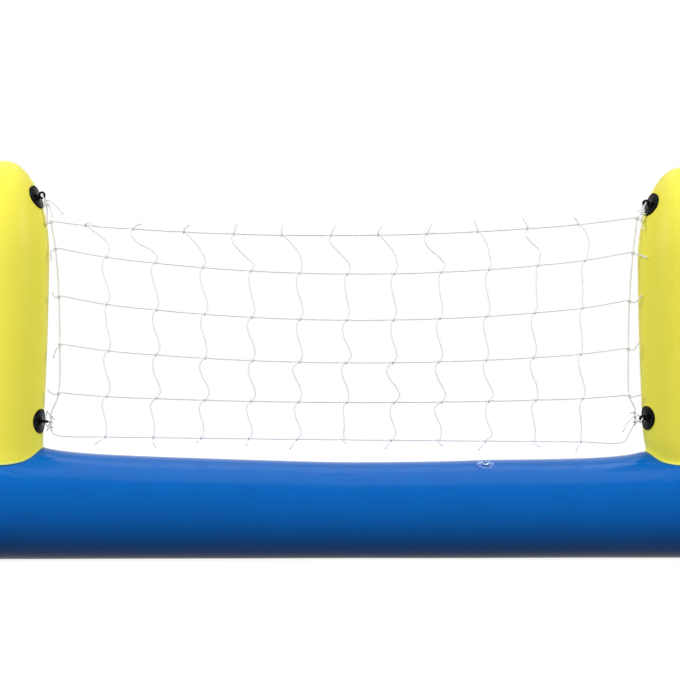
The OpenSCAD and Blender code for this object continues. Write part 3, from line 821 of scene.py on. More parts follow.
    def mouth_row(self, side: int, share: float) -> list[Point]:
        """A row at a share of the way from the block's edge to the cross float, puckered at its weld.

        Args:
            side: -1 for the left end, 1 for the right one.
            share: Share of the way, 0 at the block's edge and 1 at the float.

        Returns:
            The points of the row.
        """
        s = self.sizes
        float_x = s.post_x + s.float_reach
        start = s.post_x + self.block_half
        row = []
        for a in self.turns:
            dz = self.skin(side * (float_x - self.mouth_way), a)[2] - (s.float_r - s.settle)
            end = float_x - math.sqrt(max(0.0, (s.float_r + s.stand_off) ** 2 - dz * dz))
            x = start + (end - start) * share
            _, y, z = self.skin(side * x, a)
            wave = self.mouth[0] * bell((end - x) / self.mouth[1]) * cosd(self.mouth_waves * a)
            r = math.hypot(y, z - s.tube_z)
            # the waves die out on the last row, which lies on the cross float
            f = (r + wave * (1 - share ** 8)) / r
            row.append((side * x, y * f, max(0.0, s.tube_z + (z - s.tube_z) * f)))
        return row

    def build(self, film: bpy.types.Material) -> bpy.types.Object:
        """Build the tube in place of its plain solid.

        Args:
            film: The blue film.

        Returns:
            The tube.
        """
        h = self.sides // 4
        edge = self.sizes.post_x - self.block_half
        rows = [self.mouth_row(-1, 1 - k / self.mouth_rows) for k in range(self.mouth_rows)]
        rows += [self.block_row(-1, i) for i in range(-h, h + 1)]
        rows += [[self.skin(-edge + 2 * edge * m / self.mid_rows, a) for a in self.turns]
                 for m in range(1, self.mid_rows)]
        rows += [self.block_row(1, i) for i in range(-h, h + 1)]
        rows += [self.mouth_row(1, (k + 1) / self.mouth_rows) for k in range(self.mouth_rows)]
        verts, faces = skin_rows(rows)
        piece = mesh_object("floor_tube_skin", verts, faces, [film])
        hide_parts("base_tube")
        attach(piece, BODY)
        return piece


@dataclass
class CrossFloat:
    """A cross float: a capsule whose ends are gathered into a round weld."""

    sizes: SetSizes
    side: Side
    sides: int = 128
    end_rows: int = 30
    mid_rows: int = 60
    slack: float = 1.4
    tip_share: float = 0.99999
    # end weld: way in from where the end rounds off, height and half width of its bead, gathers
    weld_in: float = 6.0
    bead: tuple[float, float] = (0.9, 2.2)
    gathers: Gathers = Gathers(0, 20, 0.9, 30, 0.72)
    gather_cells: tuple[float, float] = (8.0, 40.0)
    # slow unevenness: height, cell along the float, cell round it in degrees
    slow: Point = (0.6, 120.0, 60.0)

    def radius(self, y: float, turn: float) -> float:
        """Radius at a way along the float, with the gathers of its ends.

        Args:
            y: Way along the float from its middle, in millimetres.
            turn: Angle round the float, in degrees.

        Returns:
            The radius.
        """
        s = self.sizes
        past = abs(y) - (s.float_len / 2 - s.float_end)
        r = s.float_r * math.sqrt(max(0.0, 1 - max(0.0, past / s.float_end) ** 2))
        seam = self.bead[0] * bell((past - self.weld_in) / self.bead[1])
        ct, cy = self.gather_cells
        stray = rough(turn / ct, y / cy, self.side.value, 5.0)
        gather = self.gathers.height(past - self.weld_in, turn, stray)
        slow = self.slow[0] * rough(y / self.slow[1], turn / self.slow[2], self.side.value, 9.0)
        return max(0.0, r - self.slack + slow + seam + gather * r / s.float_r)

    def build(self, film: bpy.types.Material) -> bpy.types.Object:
        """Build the float in place of its plain solid.

        Args:
            film: The blue film.

        Returns:
            The float.
        """
        s = self.sizes
        half = s.float_len / 2
        straight = half - s.float_end
        end = [-half + s.float_end * (1 - cosd(90 * k / self.end_rows)) for k in range(1, self.end_rows + 1)]
        middle = [-straight + 2 * straight * k / self.mid_rows for k in range(1, self.mid_rows)]
        tip = half * self.tip_share
        rows = []
        for y in [-tip] + end + middle + [-w for w in reversed(end)] + [tip]:
            row = []
            for j in range(self.sides):
                turn = 360 * j / self.sides - 180
                r = self.radius(y, turn)
                row.append((self.side.value * (s.post_x + s.float_reach) + r * sind(turn), y,
                            max(0.0, s.float_r - s.settle + r * cosd(turn))))
            rows.append(row)
        verts, faces = skin_rows(rows)
        faces = [tuple(reversed(f)) for f in faces]
        faces.append(tuple(range(self.sides)))
        faces.append(tuple(reversed(range(len(verts) - self.sides, len(verts)))))
        label = self.side.name.lower()
        piece = mesh_object(f"{label}_float_skin", verts, faces, [film])
        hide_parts(f"{label}_float")
        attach(piece, BODY)
        return piece


@dataclass
class Post:
    """A yellow post: two panels welded up both sides and over the dome, and round the foot.

    The film is nipped in a little way over the foot's weld, and tucked in at the weld itself.
    """

    sizes: SetSizes
    side: Side
    nip: float
    tuck: float
    sides: int = 160
    join_up: float = 60.0
    low_rows: int = 26
    body_rows: int = 90
    dome_rows: int = 60
    crown_r: float = 30.0
    # seams up both sides: height and half width of their bead; gathers' half width, height on the body and
    # more on the dome, spacing; way from the widest place in which the dome's gathers grow
    bead: tuple[float, float] = (0.7, 1.8)
    seam_w: float = 13.0
    seam_h: tuple[float, float] = (0.12, 0.22)
    seam_step: float = 3.1
    dome_way: tuple[float, float] = (-40.0, 160.0)
    # foot: gathers, middle and half width of the nip, half width of the tuck
    gathers: Gathers = Gathers(0, 13, 0.5, 36, 0.8)
    nip_way: tuple[float, float] = (11.0, 13.0)
    tuck_w: float = 34.0
    scallop: tuple[float, float] = (0.3, 72.0)
    gather_cells: tuple[float, float] = (8.0, 22.0)
    # slow unevenness: height, cell
    slow: tuple[float, float] = (0.45, 160.0)
    # section of the weld flange: way out from the foot's radius, height over the saddle
    flange: Table = ((-2.5, 0.2), (-2.0, 1.9), (0.6, 2.2), (2.2, 2.0), (3.0, 1.2), (4.3, -0.3))

    @property
    def turns(self) -> list[float]:
        """Angles of a row's points, in degrees."""
        return [360 * j / self.sides - 180 for j in range(self.sides)]

    def row(self, radii: Sequence[float], heights: Sequence[float]) -> list[Point]:
        """A row of points round the post."""
        cx = self.side.value * self.sizes.post_x
        return [(cx + r * cosd(t), r * sind(t), z) for t, r, z in zip(self.turns, radii, heights)]

    def foot(self, turn: float) -> float:
        """Height of the weld round the foot at an angle round the post.

        Args:
            turn: Angle round the post, in degrees.

        Returns:
            The height, in millimetres.
        """
        s = self.sizes
        saddle = math.sqrt(s.saddle_r ** 2 - (s.foot_r * sind(turn)) ** 2)
        return s.tube_z + saddle + s.stand_off - s.sag(self.side, turn)

    def swell(self, z: float, turn: float) -> float:
        """Seams, gathers and slow unevenness over the plain radius.

        Args:
            z: Height over the floor.
            turn: Angle round the post, 0 towards +X.

        Returns:
            Difference of radius in millimetres.
        """
        s = self.sizes
        up = z - self.foot(turn)
        away = min(abs(turn), 180 - abs(turn)) * math.pi / 180 * s.post_rad(z)
        dome = ease((z - s.wide_z - self.dome_way[0]) / self.dome_way[1])
        bead = self.bead[0] * bell(away / self.bead[1])
        gather = bell(away / self.seam_w) * (self.seam_h[0] + self.seam_h[1] * dome) * (
            math.cos(z / self.seam_step + 2 * rough(z / 40, 0, turn / 90))
            + 0.6 * rough(z / 12, away / 12, self.side.value * 4.0, 2.0))
        ct, cu = self.gather_cells
        foot = self.gathers.height(up, turn, rough(turn / ct, up / cu, self.side.value, 6.0))
        waist = self.nip * bell((up - self.nip_way[0]) / self.nip_way[1]) + self.tuck * bell(up / self.tuck_w)
        slow = self.slow[0] * rough(cosd(turn), sind(turn), z / self.slow[1], 8.0 * self.side.value)
        return (bead + gather + slow) * ease(up / 12) + foot * ease(up / 5) - waist

    def build(self, film: bpy.types.Material, weld: bpy.types.Material,
              bead: bpy.types.Material) -> bpy.types.Object:
        """Build the post and its weld flange in place of the plain solid.

        Args:
            film: The yellow film.
            weld: The film where it is welded flat.
            bead: Dark film for the weld's outer edge band, painted shade under the flange.

        Returns:
            The post.
        """
        s = self.sizes
        join = s.foot_z + self.join_up
        rows = []
        for k in range(self.low_rows + 1):
            zs = [self.foot(t) + (join - self.foot(t)) * (k / self.low_rows) for t in self.turns]
            rows.append(self.row([s.post_rad(z) + self.swell(z, t) for z, t in zip(zs, self.turns)], zs))
        heights = [join + (s.wide_z - join) * k / self.body_rows for k in range(1, self.body_rows + 1)]
        heights += [s.wide_z + s.dome_h * sind(90 * k / self.dome_rows) for k in range(1, self.dome_rows)]
        for z in heights:
            r = s.post_rad(z)
            calm = min(1.0, r / self.crown_r)
            rows.append(self.row([r + self.swell(z, t) * calm for t in self.turns], [z] * self.sides))
        verts, faces = skin_rows(rows)
        top = len(verts)
        verts.append((self.side.value * s.post_x, 0.0, s.post_top))
        last = top - self.sides
        faces += [(last + j, last + (j + 1) % self.sides, top) for j in range(self.sides)]
        spots = [0] * len(faces)
        # weld flange: a flat pressed ring with a rounded edge, scalloped on its outside
        deep, waves = self.scallop
        rings = []
        for out, up in reversed(self.flange):
            radii = [s.foot_r + out - self.tuck - (deep * (1 + cosd(waves * t)) if out > 0 else 0.0)
                     for t in self.turns]
            rings.append(self.row(radii, [
                s.tube_z + math.sqrt((s.saddle_r + up) ** 2 - (r * sind(t)) ** 2) - s.sag(self.side, t)
                for r, t in zip(radii, self.turns)]))
        more, ring_faces = skin_rows(rings, len(verts))
        verts += more
        faces += ring_faces
        # the outermost band, the bead, takes the dark film as painted shade under the flange; the next two
        # are pale where the films have melted together
        spots += [2 if k < self.sides else 1 if k < 3 * self.sides else 0 for k in range(len(ring_faces))]
        label = self.side.name.lower()
        piece = mesh_object(f"{label}_post_skin", verts, faces, [film, weld, bead], spots)
        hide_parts(f"{label}_post")
        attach(piece, BODY)
        return piece


@dataclass
class RopePatches:
    """The four black patches with their moulded eyes."""

    sizes: SetSizes

    def head(self, corner: Corner) -> float:
        """Heading of a patch round its post, in degrees."""
        return -self.sizes.patch_turn if corner.end < 0 else 180 + self.sizes.patch_turn

    def height(self, corner: Corner) -> float:
        """Height of a patch's middle."""
        s = self.sizes
        return (s.post_top - s.upper_drop if corner.upper else s.lower_z) + corner.lift

    def directions(self, corner: Corner) -> tuple[Vector, Vector, Vector]:
        """Out of the vinyl, to the front along it, and up along it.

        Args:
            corner: The corner.

        Returns:
            The three directions.
        """
        s = self.sizes
        z = self.height(corner)
        h = math.radians(self.head(corner))
        e = -math.atan((s.post_rad(z + 1) - s.post_rad(z - 1)) / 2)
        out = Vector((math.cos(e) * math.cos(h), math.cos(e) * math.sin(h), math.sin(e)))
        fore = corner.end * Vector((-math.sin(h), math.cos(h), 0))
        return out, fore, out.cross(fore) * corner.end

    def eye(self, corner: Corner) -> Vector:
        """Middle of a patch's eye.

        Args:
            corner: The corner.

        Returns:
            The middle of the hole that the tie goes through.
        """
        s = self.sizes
        z = self.height(corner)
        r = s.post_rad(z)
        foot = Vector((corner.end * s.post_x + r * cosd(self.head(corner)), r * sind(self.head(corner)), z))
        return foot + s.eye_h * self.directions(corner)[0]

    def near_eye(self, corner: Corner, o: float, h: float, e: float) -> Vector:
        """A point beside an eye: out of the vinyl, along the hole, and across it.

        Args:
            corner: The corner.
            o: Way out of the vinyl.
            h: Way along the hole.
            e: Way across the hole.

        Returns:
            The point.
        """
        out, fore, up = self.directions(corner)
        q = math.radians(corner.spin)
        return (self.eye(corner) + o * out + h * (math.cos(q) * fore - math.sin(q) * up)
                + e * (math.sin(q) * fore + math.cos(q) * up))

    def dress(self, vinyl: bpy.types.Material) -> None:
        """Give the patches their moulded vinyl."""
        for corner in Corner:
            dress_node(f"{corner.label}_patch", vinyl)


def dress_node(node: str, material: bpy.types.Material) -> None:
    """Give a solid of the frame its material.

    Args:
        node: The solid's name.
        material: The finish.
    """
    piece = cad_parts[node]
    for slot in piece.material_slots:
        slot.material = material
    if not piece.material_slots:
        piece.data.materials.append(material)


@dataclass
class AirValves:
    """The push-in valves of the floor tube and the two posts."""

    chambers: tuple[str, ...] = ("base", "left", "right")

    def dress(self, vinyl: bpy.types.Material) -> None:
        """Give flanges, stems and plugs their clear vinyl.

        Args:
            vinyl: The clear vinyl.
        """
        for chamber in self.chambers:
            for piece in ("valve", "stem", "plug"):
                dress_node(f"{chamber}_{piece}", vinyl)


# drop cords from the left, with the one at mid length, and lines from the head line to the foot line
CORDS = range(1, 12)
MIDDLE = 6
LINES = range(6)
HEAD, FOOT = LINES[0], LINES[-1]


@dataclass
class Net:
    """The knotted cord net and the ties at its corners."""

    sizes: SetSizes
    patches: RopePatches
    # place of the net, and of its lines' ends
    inset: float = 106.0
    head_drop: float = 45.0
    foot_drop: float = 44.6
    first_row: float = 101.0
    front: float = 22.0
    # slope, sag and draw-in of the head line, the mesh lines and the foot line
    tilt: tuple[float, ...] = (9.5, 0.0, -1.5, -2.0, -1.0, -6.0)
    sag: tuple[float, ...] = (34.0, 52.0, 48.0, 36.0, 17.0, 1.5)
    draw: tuple[float, ...] = (0.0, 10.0, 18.0, 20.0, 17.5, 14.0)
    # shift of the drop cords on the head line, in meshes: at the first one, more at the last, how it grows
    head_shift: Point = (-0.42, 0.274, 1.6)
    # loose ends of the drop cords: length, then each one's lean in degrees and share of that length
    tail: float = 22.0
    head_lean: tuple[float, ...] = (80, 62, 44, 15, 10, 18, 25, 24, -18, -31, -33)
    head_share: tuple[float, ...] = (0.8, 0.95, 1, 1.1, 1.15, 1.2, 1.15, 1.15, 1.1, 1.15, 0.9)
    foot_lean: tuple[float, ...] = (-52, 23, -38, -9, -29, 59, -30, 48, -32, 57, -24)
    foot_share: tuple[float, ...] = (1.05, 1.1, 0.55, 0.75, 1.15, 0.5, 1, 0.75, 1.1, 0.9, 1.1)
    # each drop cord's shift to the right at its knots, then of the cord between them
    knot_shift: Table = (
        (0.5, -0.5, 1, 6, 1, -1.5), (-3.5, -0.5, 4.5, 3.5, 3.5, -2), (2, 0.5, 4, 6, 4, -3.5),
        (2, -0.5, 2, 3, 1, -4.5), (0.5, 0.5, 1.5, 0.5, -1, -5.5), (-1.5, 0, -1, -3, -1, -7.5),
        (-4.5, -2, -3, -4.5, -2, -8.5), (-7.5, -3.5, -6, -8.5, -2, -8.5), (-2.5, -3, -8.5, -9, -3.5, -11),
        (-3.5, 0, -7, -8.5, -3.5, -8), (2, 0, -5.5, -9, -3.5, -9))
    top_swing: Table = (
        (8, 20, 22, 13), (-10, -7, 11, 14), (5, 12, 14, 10), (-9, -5, 3, 12), (8, 17, 17, 10),
        (-6, 2, 11, 12), (7, 16, 17, 11), (-9, -5, 9, 13), (6, 10, 9, 7), (-7, 4, 15, 7),
        (10, 15, 13, 7))
    mesh_swing: Table = (
        (-6.5, 7.5, -1, 4.5, -7.5, 7, -6, 2.5), (-5.5, 4.5, -6.5, 8, -5, 10, -8.5, 0.5),
        (-5.5, 7, -7, 3, -10.5, 10, -7.5, 4.5), (-2.5, 6, -9, 5.5, -6, 8.5, -7.5, 5.5),
        (-5, 6.5, -5, 6, -12, 6, -6, 9.5), (-3.5, 4.5, -7, 11, -7.5, 4.5, -4, -1.5),
        (-4.5, 5, -3.5, 8, -12, 13, -5, 9), (-2.5, 4.5, -5, 7.5, -7, 9.5, -13, 4),
        (-4.5, 5.5, -4.5, 4.5, -5.5, 10.5, -2, 13), (1, 4.5, -5.5, 5, -7.5, 4.5, -7, 1.5),
        (-4.5, -2, -3, 2, -4.5, 4.5, -5, -1))
    # loose ends of the lines past the side lines: outward, to the back and up
    left_tails: Tails = (
        ((7, -4, 0), (13, -4, -0.3)), ((8, -6, -3), (8, -8, -24)), ((8, -6.5, 0), (14, -8, 12)),
        ((7, -6, -8), (13, -8, -28)), ((11, -6.5, 1), (24, -8, 11)))
    right_tails: Tails = (
        ((7, -4, 0), (13, -4, -0.3)), ((11, -8, -1), (26, -28, -12)), ((12, -6.5, 0), (27, -8, 15)),
        ((10, -6.5, 0), (22, -8, 16)), ((11, -6.5, 1), (24, -8, 6)))
    # gaps at the corners and along a turn round another cord, then the cord itself
    corner_gap: float = 0.2
    turn_gap: float = 0.22
    sides: int = 8
    step: float = 3.0
    slack_r: float = 1.78
    tight_mm: float = 9.0
    slack_mm: float = 14.0
    lay_mm: float = 9.5

    @property
    def half(self) -> float:
        """Half the length of the head line."""
        return self.sizes.post_x - self.inset

    @property
    def turn_r(self) -> float:
        """Radius of a turn's corners round another cord."""
        return (self.sizes.cord_d + self.corner_gap) / cosd(36)

    @property
    def drift(self) -> float:
        """Way that one turn moves along the cord it goes round."""
        return self.sizes.cord_d * 1.5

    def wrap(self, c: Vector, a: Vector, u: Vector, drift: float, turns: float = 1.0) -> Path:
        """Points of a turn round a carrying cord.

        Args:
            c: Middle of the turn.
            a: Direction of the carrying cord.
            u: Where the turn starts.
            drift: Way that the turn moves along the carrying cord.
            turns: Number of turns.

        Returns:
            The points.
        """
        v = a.cross(u)
        r = self.sizes.cord_d + self.turn_gap
        steps = round(10 * turns)
        return [c + a * drift * (k / steps - 0.5)
                + r * (cosd(360 * turns * k / steps) * u + sind(360 * turns * k / steps) * v)
                for k in range(steps + 1)]

    def line_end(self, k: int) -> float:
        """Height of a line's ends.

        Args:
            k: Number of the line, from the head line down.

        Returns:
            The height, in millimetres.
        """
        s = self.sizes
        if k == HEAD:
            return s.post_top - s.upper_drop - self.head_drop
        low = s.lower_z - self.foot_drop
        return low if k == FOOT else low + self.first_row + (FOOT - 1 - k) * s.mesh

    def line_z(self, k: int, x: float) -> float:
        """Height of a line at a way along the net."""
        u = x / self.half
        return self.line_end(k) + self.tilt[k] * u - self.sag[k] * (1 - u * u)

    def knot(self, i: int, k: int) -> Vector:
        """Where drop cord i crosses line k.

        Args:
            i: Number of the drop cord, from the left.
            k: Number of the line, from the head line down.

        Returns:
            The middle of the crossing.
        """
        x = (i - MIDDLE) * self.sizes.mesh + self.knot_shift[i - 1][k]
        if k == HEAD:
            first, more, power = self.head_shift
            x += self.sizes.mesh * (first + more * ((i - 1) / 10) ** power)
        return Vector((x, -self.front, self.line_z(k, x)))

    def line_dir(self, k: int, x: float) -> Vector:
        """Direction of a line."""
        return Vector((2, 0, self.line_z(k, x + 1) - self.line_z(k, x - 1))).normalized()

    def side_point(self, s: int, k: int) -> Vector:
        """Where a side line meets line k."""
        return Vector((s * (self.half - self.draw[k]), -self.front + self.turn_r,
                       self.line_end(k) + s * self.tilt[k]))

    def side_dir(self, s: int, k: int) -> Vector:
        """Direction of a side line, upwards."""
        return (self.side_point(s, max(HEAD, k - 1)) - self.side_point(s, min(FOOT - 1, k + 1))).normalized()

    def turn_way(self, i: int, k: int) -> int:
        """Way that a knot's turn moves along its line, 1 to the right and -1 to the left."""
        return 1 if k == HEAD and self.top_swing[i - 1][0] > 0 else -1

    def swing(self, i: int, k: int) -> Path:
        """Way of drop cord i between its knots k and k + 1.

        Args:
            i: Number of the drop cord.
            k: Number of the line above.

        Returns:
            Four points of the way.
        """
        a = self.knot(i, k) + Vector((self.turn_way(i, k) * self.drift / 2, -self.turn_r, 0))
        b = self.knot(i, k + 1) + Vector((self.drift / 2, -self.turn_r, 0))
        if k == HEAD:
            offsets: Sequence[float] = self.top_swing[i - 1]
        else:
            out, back = self.mesh_swing[i - 1][2 * k - 2:2 * k]
            offsets = (out, out / 2, back / 2, back)
        return [a + (b - a) * q + Vector((off, 0, 0)) for q, off in zip((0.17, 0.42, 0.62, 0.84), offsets)]

    def loose_end(self, p: Vector, way: int, lean: float, length: float) -> Path:
        """Loose end that leaves a point upwards or downwards, from its tip.

        Args:
            p: Where it leaves the knot.
            way: 1 upwards, -1 downwards.
            lean: Angle to the right, in degrees.
            length: Its length.

        Returns:
            Two points, the tip first.
        """
        c, s = cosd(lean), sind(lean)
        return [p + Vector((length * s, -4, way * (3 + (length - 3) * c))),
                p + Vector((5 * s, -3.5, way * (3 + 5 * c)))]

    def drop_path(self, i: int) -> Path:
        """Route of a drop cord, knot by knot.

        Args:
            i: Number of the drop cord, from the left.

        Returns:
            The route.
        """
        top = self.knot(i, HEAD) + Vector((-self.turn_way(i, HEAD) * self.drift / 2, -self.turn_r, 0))
        low = self.knot(i, FOOT) + Vector((-self.drift / 2, -self.turn_r, 0))
        path = self.loose_end(top, 1, self.head_lean[i - 1], self.tail * self.head_share[i - 1])
        for k in LINES:
            path += self.wrap(self.knot(i, k), self.line_dir(k, self.knot(i, k).x), Vector((0, -1, 0)),
                              self.turn_way(i, k) * self.drift)
            if k < FOOT:
                path += self.swing(i, k)
        return path + list(reversed(self.loose_end(low, -1, self.foot_lean[i - 1],
                                                   self.tail * self.foot_share[i - 1])))

    def hitch(self, s: int, c: Vector, up: Vector, lift: int, tail: Sequence[Point]) -> Path:
        """A line's end: once round the side line, then a loose end outward."""
        return (self.wrap(c, s * up, Vector((0, -1, 0)), -s * lift * self.drift)
                + [c + Vector((s * p[0], p[1], p[2])) for p in tail])

    def hitch_tail(self, k: int, s: int) -> list[Point]:
        """Loose end of line k at side s."""
        return [(x, y, z - self.drift / 2) for x, y, z in (self.left_tails if s < 0 else self.right_tails)[k]]

    def line_path(self, k: int) -> Path:
        """Route of the head line or a mesh line.

        Args:
            k: Number of the line.

        Returns:
            The route.
        """
        left = self.hitch(-1, self.side_point(-1, k), self.side_dir(-1, k), 1, self.hitch_tail(k, -1))
        right = self.hitch(1, self.side_point(1, k), self.side_dir(1, k), 1, self.hitch_tail(k, 1))
        return list(reversed(left)) + [self.knot(i, k) for i in CORDS] + right

    def foot_c(self, s: int) -> Vector:
        """Middle of the foot line's hitch on a side line.

        Args:
            s: -1 for the left side line, 1 for the right one.

        Returns:
            The middle.
        """
        low = self.line_end(FOOT)
        return (Vector((-(self.half - 1.5), -self.front + self.turn_r, low + 25)) if s < 0
                else Vector((self.half - 5, -self.front + self.turn_r, low + 39)))

    def foot_path(self) -> Path:
        """Route of the foot line.

        Returns:
            The route.
        """
        left, right, up = self.foot_c(-1), self.foot_c(1), Vector((0, 0, 1))
        start = ([left + Vector((13, -self.turn_r, -17.5)), left + Vector((3.5, -self.turn_r, -12))]
                 + self.hitch(-1, left, up, -1, ((5, -5, 0.5), (9, -6, -5))))
        return (list(reversed(start)) + [self.knot(i, FOOT) for i in CORDS]
                + [right + Vector((-26, -self.turn_r, -44)), right + Vector((-15, -self.turn_r, -28))]
                + self.hitch(1, right, up, -1, ((8, -4.5, 2), (14, -5, -1))))

    def side_path(self, s: int) -> Path:
        """Route of a side line.

        Args:
            s: -1 for the left side line, 1 for the right one.

        Returns:
            The route.
        """
        c = self.foot_c(s)
        return ([self.side_point(s, HEAD) + 7 * self.side_dir(s, HEAD)]
                + [self.side_point(s, k) for k in LINES[:-1]]
                + [c + Vector((0, 0, 32)), c + Vector((0, 0, 12)), c - Vector((0, 0, 8))])

    def upper_tie(self, corner: Corner, share: float, shift: Vector, end_a: Sequence[Point],
                  loop: Sequence[Point], end_b: Sequence[Point]) -> Path:
        """Route of an upper tie: end, turn round both strands, eye, head line's end, other end.

        Args:
            corner: The corner.
            share: Place of the knot between the net's corner and the eye.
            shift: Offset of the knot from that place.
            end_a: First loose end.
            loop: Way through the eye.
            end_b: Other loose end.

        Returns:
            The route.
        """
        s, at = corner.end, self.patches.near_eye
        tip = Vector((s * (self.half + 9), -self.front, self.side_point(s, HEAD).z - self.drift / 2))
        knot = tip + (self.patches.eye(corner) - tip) * share + shift
        a = (at(corner, 1.5, 0, -4) - knot).normalized()
        w = (Vector((0, 1, 0)) - a.y * a).normalized()
        v = w.cross(a) * -s
        r = self.turn_r + 2.1
        path = [knot + p[0] * v + p[1] * w + p[2] * a for p in end_a]
        path += [knot + r * (cosd(450 * k / 16) * v - sind(450 * k / 16) * w) + a * (0.3 * k - 2.4)
                 for k in range(17)]
        path += [at(corner, *p) for p in loop]
        path += [knot + 1.8 * w + 5 * a, knot + 1.8 * w - 5 * a]
        path += [tip + self.turn_r * Vector((0, cosd(q), -sind(q)))
                 for q in (-15, 7, 30, 60, 90, 120, 150, 172, 195)]
        path += [knot - 1.8 * w - 5 * a, knot - 1.8 * w + 4.6 * a]
        return path + [knot + p[0] * v + p[1] * w + p[2] * a for p in end_b]

    def lower_tie(self, corner: Corner, turns: float, end_a: Sequence[Point], loop: Sequence[Point],
                  end_b: Sequence[Point]) -> Path:
        """Route of a lower tie: two turns round the side line with a loop through the eye between.

        Args:
            corner: The corner.
            turns: Length of the first turn.
            end_a: First loose end.
            loop: Way through the eye.
            end_b: Other loose end.

        Returns:
            The route.
        """
        s, c, front = corner.end, self.foot_c(corner.end), Vector((0, -1, 0))
        return ([c + Vector(p) for p in end_a]
                + self.wrap(c + Vector((0, 0, 12.5)), Vector((0, 0, 1)), front, -s * self.drift, turns)
                + [self.patches.near_eye(corner, *p) for p in loop]
                + self.wrap(c + Vector((0, 0, 24)), Vector((0, 0, -s)), front, s * self.drift)
                + [c + Vector(p) for p in end_b])

    def tie_path(self, corner: Corner) -> Path:
        """Route of a corner's tie.

        Args:
            corner: The corner.

        Returns:
            The route.
        """
        if corner is Corner.UPPER_LEFT:
            return self.upper_tie(
                corner, 0.66, Vector((5, 2, 0)), ((5, -6, -31), (7, -5, -15)),
                ((4, 6.4, -5), (1.2, 5.2, -1.6), (1, 0, -1.3), (1.2, -5.2, -1.6), (4, -5, -6)),
                ((9, -3.4, 8), (21, -5, -9), (30, -6, -32)))
        if corner is Corner.UPPER_RIGHT:
            return self.upper_tie(
                corner, 0.36, Vector(), ((-3, -11, -40), (4, -9, -24), (8, -6, -10)),
                ((3.5, 8, -6), (1.2, 5.2, -1.4), (1, 0, -1.3), (1.2, -5.2, -1.2), (2, -6, -7.5),
                 (2.5, -0.5, -12)),
                ((8, -3.4, 7), (13, -5, 2)))
        if corner is Corner.LOWER_LEFT:
            return self.lower_tie(
                corner, 0.75, ((-8, -13, -8), (-1.5, -10, 3)),
                ((6, 6, -13), (3, 9, -4), (2, 5.5, 0), (1.7, 0, 0), (1.4, -7, 0), (1, -16, 0),
                 (3, -24, 0), (8, -18, 1)),
                ((5, -5.5, 20), (11, -6, 19)))
        return self.lower_tie(
            corner, 1.0, ((-30, -7, -23), (-20, -9, -3), (-8, -9, 11)),
            ((9, 7, -3), (3, 5.5, -0.6), (1.7, 0, 0), (3, -5.5, 0.6), (13, -4, 8)),
            ((-6, -5.5, 21), (-13, -6, 24)))

    def smooth(self, path: Path) -> Path:
        """Round a route off through its points and space it evenly enough to bend.

        Args:
            path: The points that the cord goes through.

        Returns:
            The points of the smooth route.
        """
        pts = [path[0] * 2 - path[1]] + path + [path[-1] * 2 - path[-2]]
        out: Path = []
        for i in range(1, len(pts) - 2):
            p0, p1, p2, p3 = pts[i - 1:i + 3]
            span = (p2 - p1).length
            t0, t1, t2 = math.sqrt((p1 - p0).length), math.sqrt(span), math.sqrt((p3 - p2).length)
            m1 = t1 * ((p1 - p0) / t0 - (p2 - p0) / (t0 + t1) + (p2 - p1) / t1)
            m2 = t1 * ((p2 - p1) / t1 - (p3 - p1) / (t1 + t2) + (p3 - p2) / t2)
            count = max(1, min(30, round(span / self.step)))
            for j in range(count):
                u = j / count
                out.append((2 * u ** 3 - 3 * u ** 2 + 1) * p1 + (u ** 3 - 2 * u ** 2 + u) * m1
                           + (-2 * u ** 3 + 3 * u ** 2) * p2 + (u ** 3 - u ** 2) * m2)
        out.append(path[-1])
        return out

    def places(self) -> Path:
        """Where cords are drawn tight: the knots, the hitches and the ties.

        Returns:
            The places.
        """
        spots = [self.knot(i, k) for i in CORDS for k in LINES]
        spots += [self.side_point(s, k) for s in (-1, 1) for k in LINES[:-1]]
        return spots + [self.foot_c(s) + Vector((0, 0, z)) for s in (-1, 1) for z in (0, 13, 26)]

    def cord(self, node: str, path: Path, fibre: bpy.types.Material) -> bpy.types.Object:
        """Sweep a cord along a route in place of its plain solid.

        The laid cord fills out between its knots and is squeezed to its stated size in them.

        Args:
            node: The solid that it replaces.
            path: The route in millimetres.
            fibre: The cord's finish.

        Returns:
            The cord.
        """
        pts = self.smooth(path)
        tight = self.places()
        thin = self.sizes.cord_d / 2
        full = thin if node.endswith("_tie") else self.slack_r
        verts: list[Vector] = []
        faces: list[tuple[int, ...]] = []
        marks: list[float] = []
        normal = Vector((0.1, 1, 0.2))
        run = 0.0
        n = self.sides
        last = len(pts) - 1
        for i, p in enumerate(pts):
            ahead = pts[min(i + 1, last)] - p
            behind = p - pts[max(i - 1, 0)]
            run += behind.length
            t = (ahead.normalized() + behind.normalized()).normalized()
            normal = (normal - normal.dot(t) * t).normalized()
            side = t.cross(normal)
            marks.append(run / self.lay_mm)
            away = min((p - q).length for q in tight) - self.tight_mm
            r = thin + (full - thin) * ease(away / self.slack_mm)
            verts += [p + r * (cosd(360 * j / n) * normal + sind(360 * j / n) * side) for j in range(n)]
        for i in range(0, last * n, n):
            faces += [(i + j, i + (j + 1) % n, i + n + (j + 1) % n, i + n + j) for j in range(n)]
        body = len(faces)
        # flat cut ends
        faces += [tuple(reversed(range(n))), tuple(range(last * n, last * n + n))]
        piece = mesh_object(f"{node}_strand", verts, faces, [fibre])
        layer = piece.data.uv_layers.new(name="lay")
        for index, polygon in enumerate(piece.data.polygons[:body]):
            i, j = divmod(index, n)
            for loop, (u, v) in zip(polygon.loop_indices, ((j, i), (j + 1, i), (j + 1, i + 1), (j, i + 1))):
                layer.data[loop].uv = (u / n, marks[v])
        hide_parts(node)
        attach(piece, BODY)
        return piece

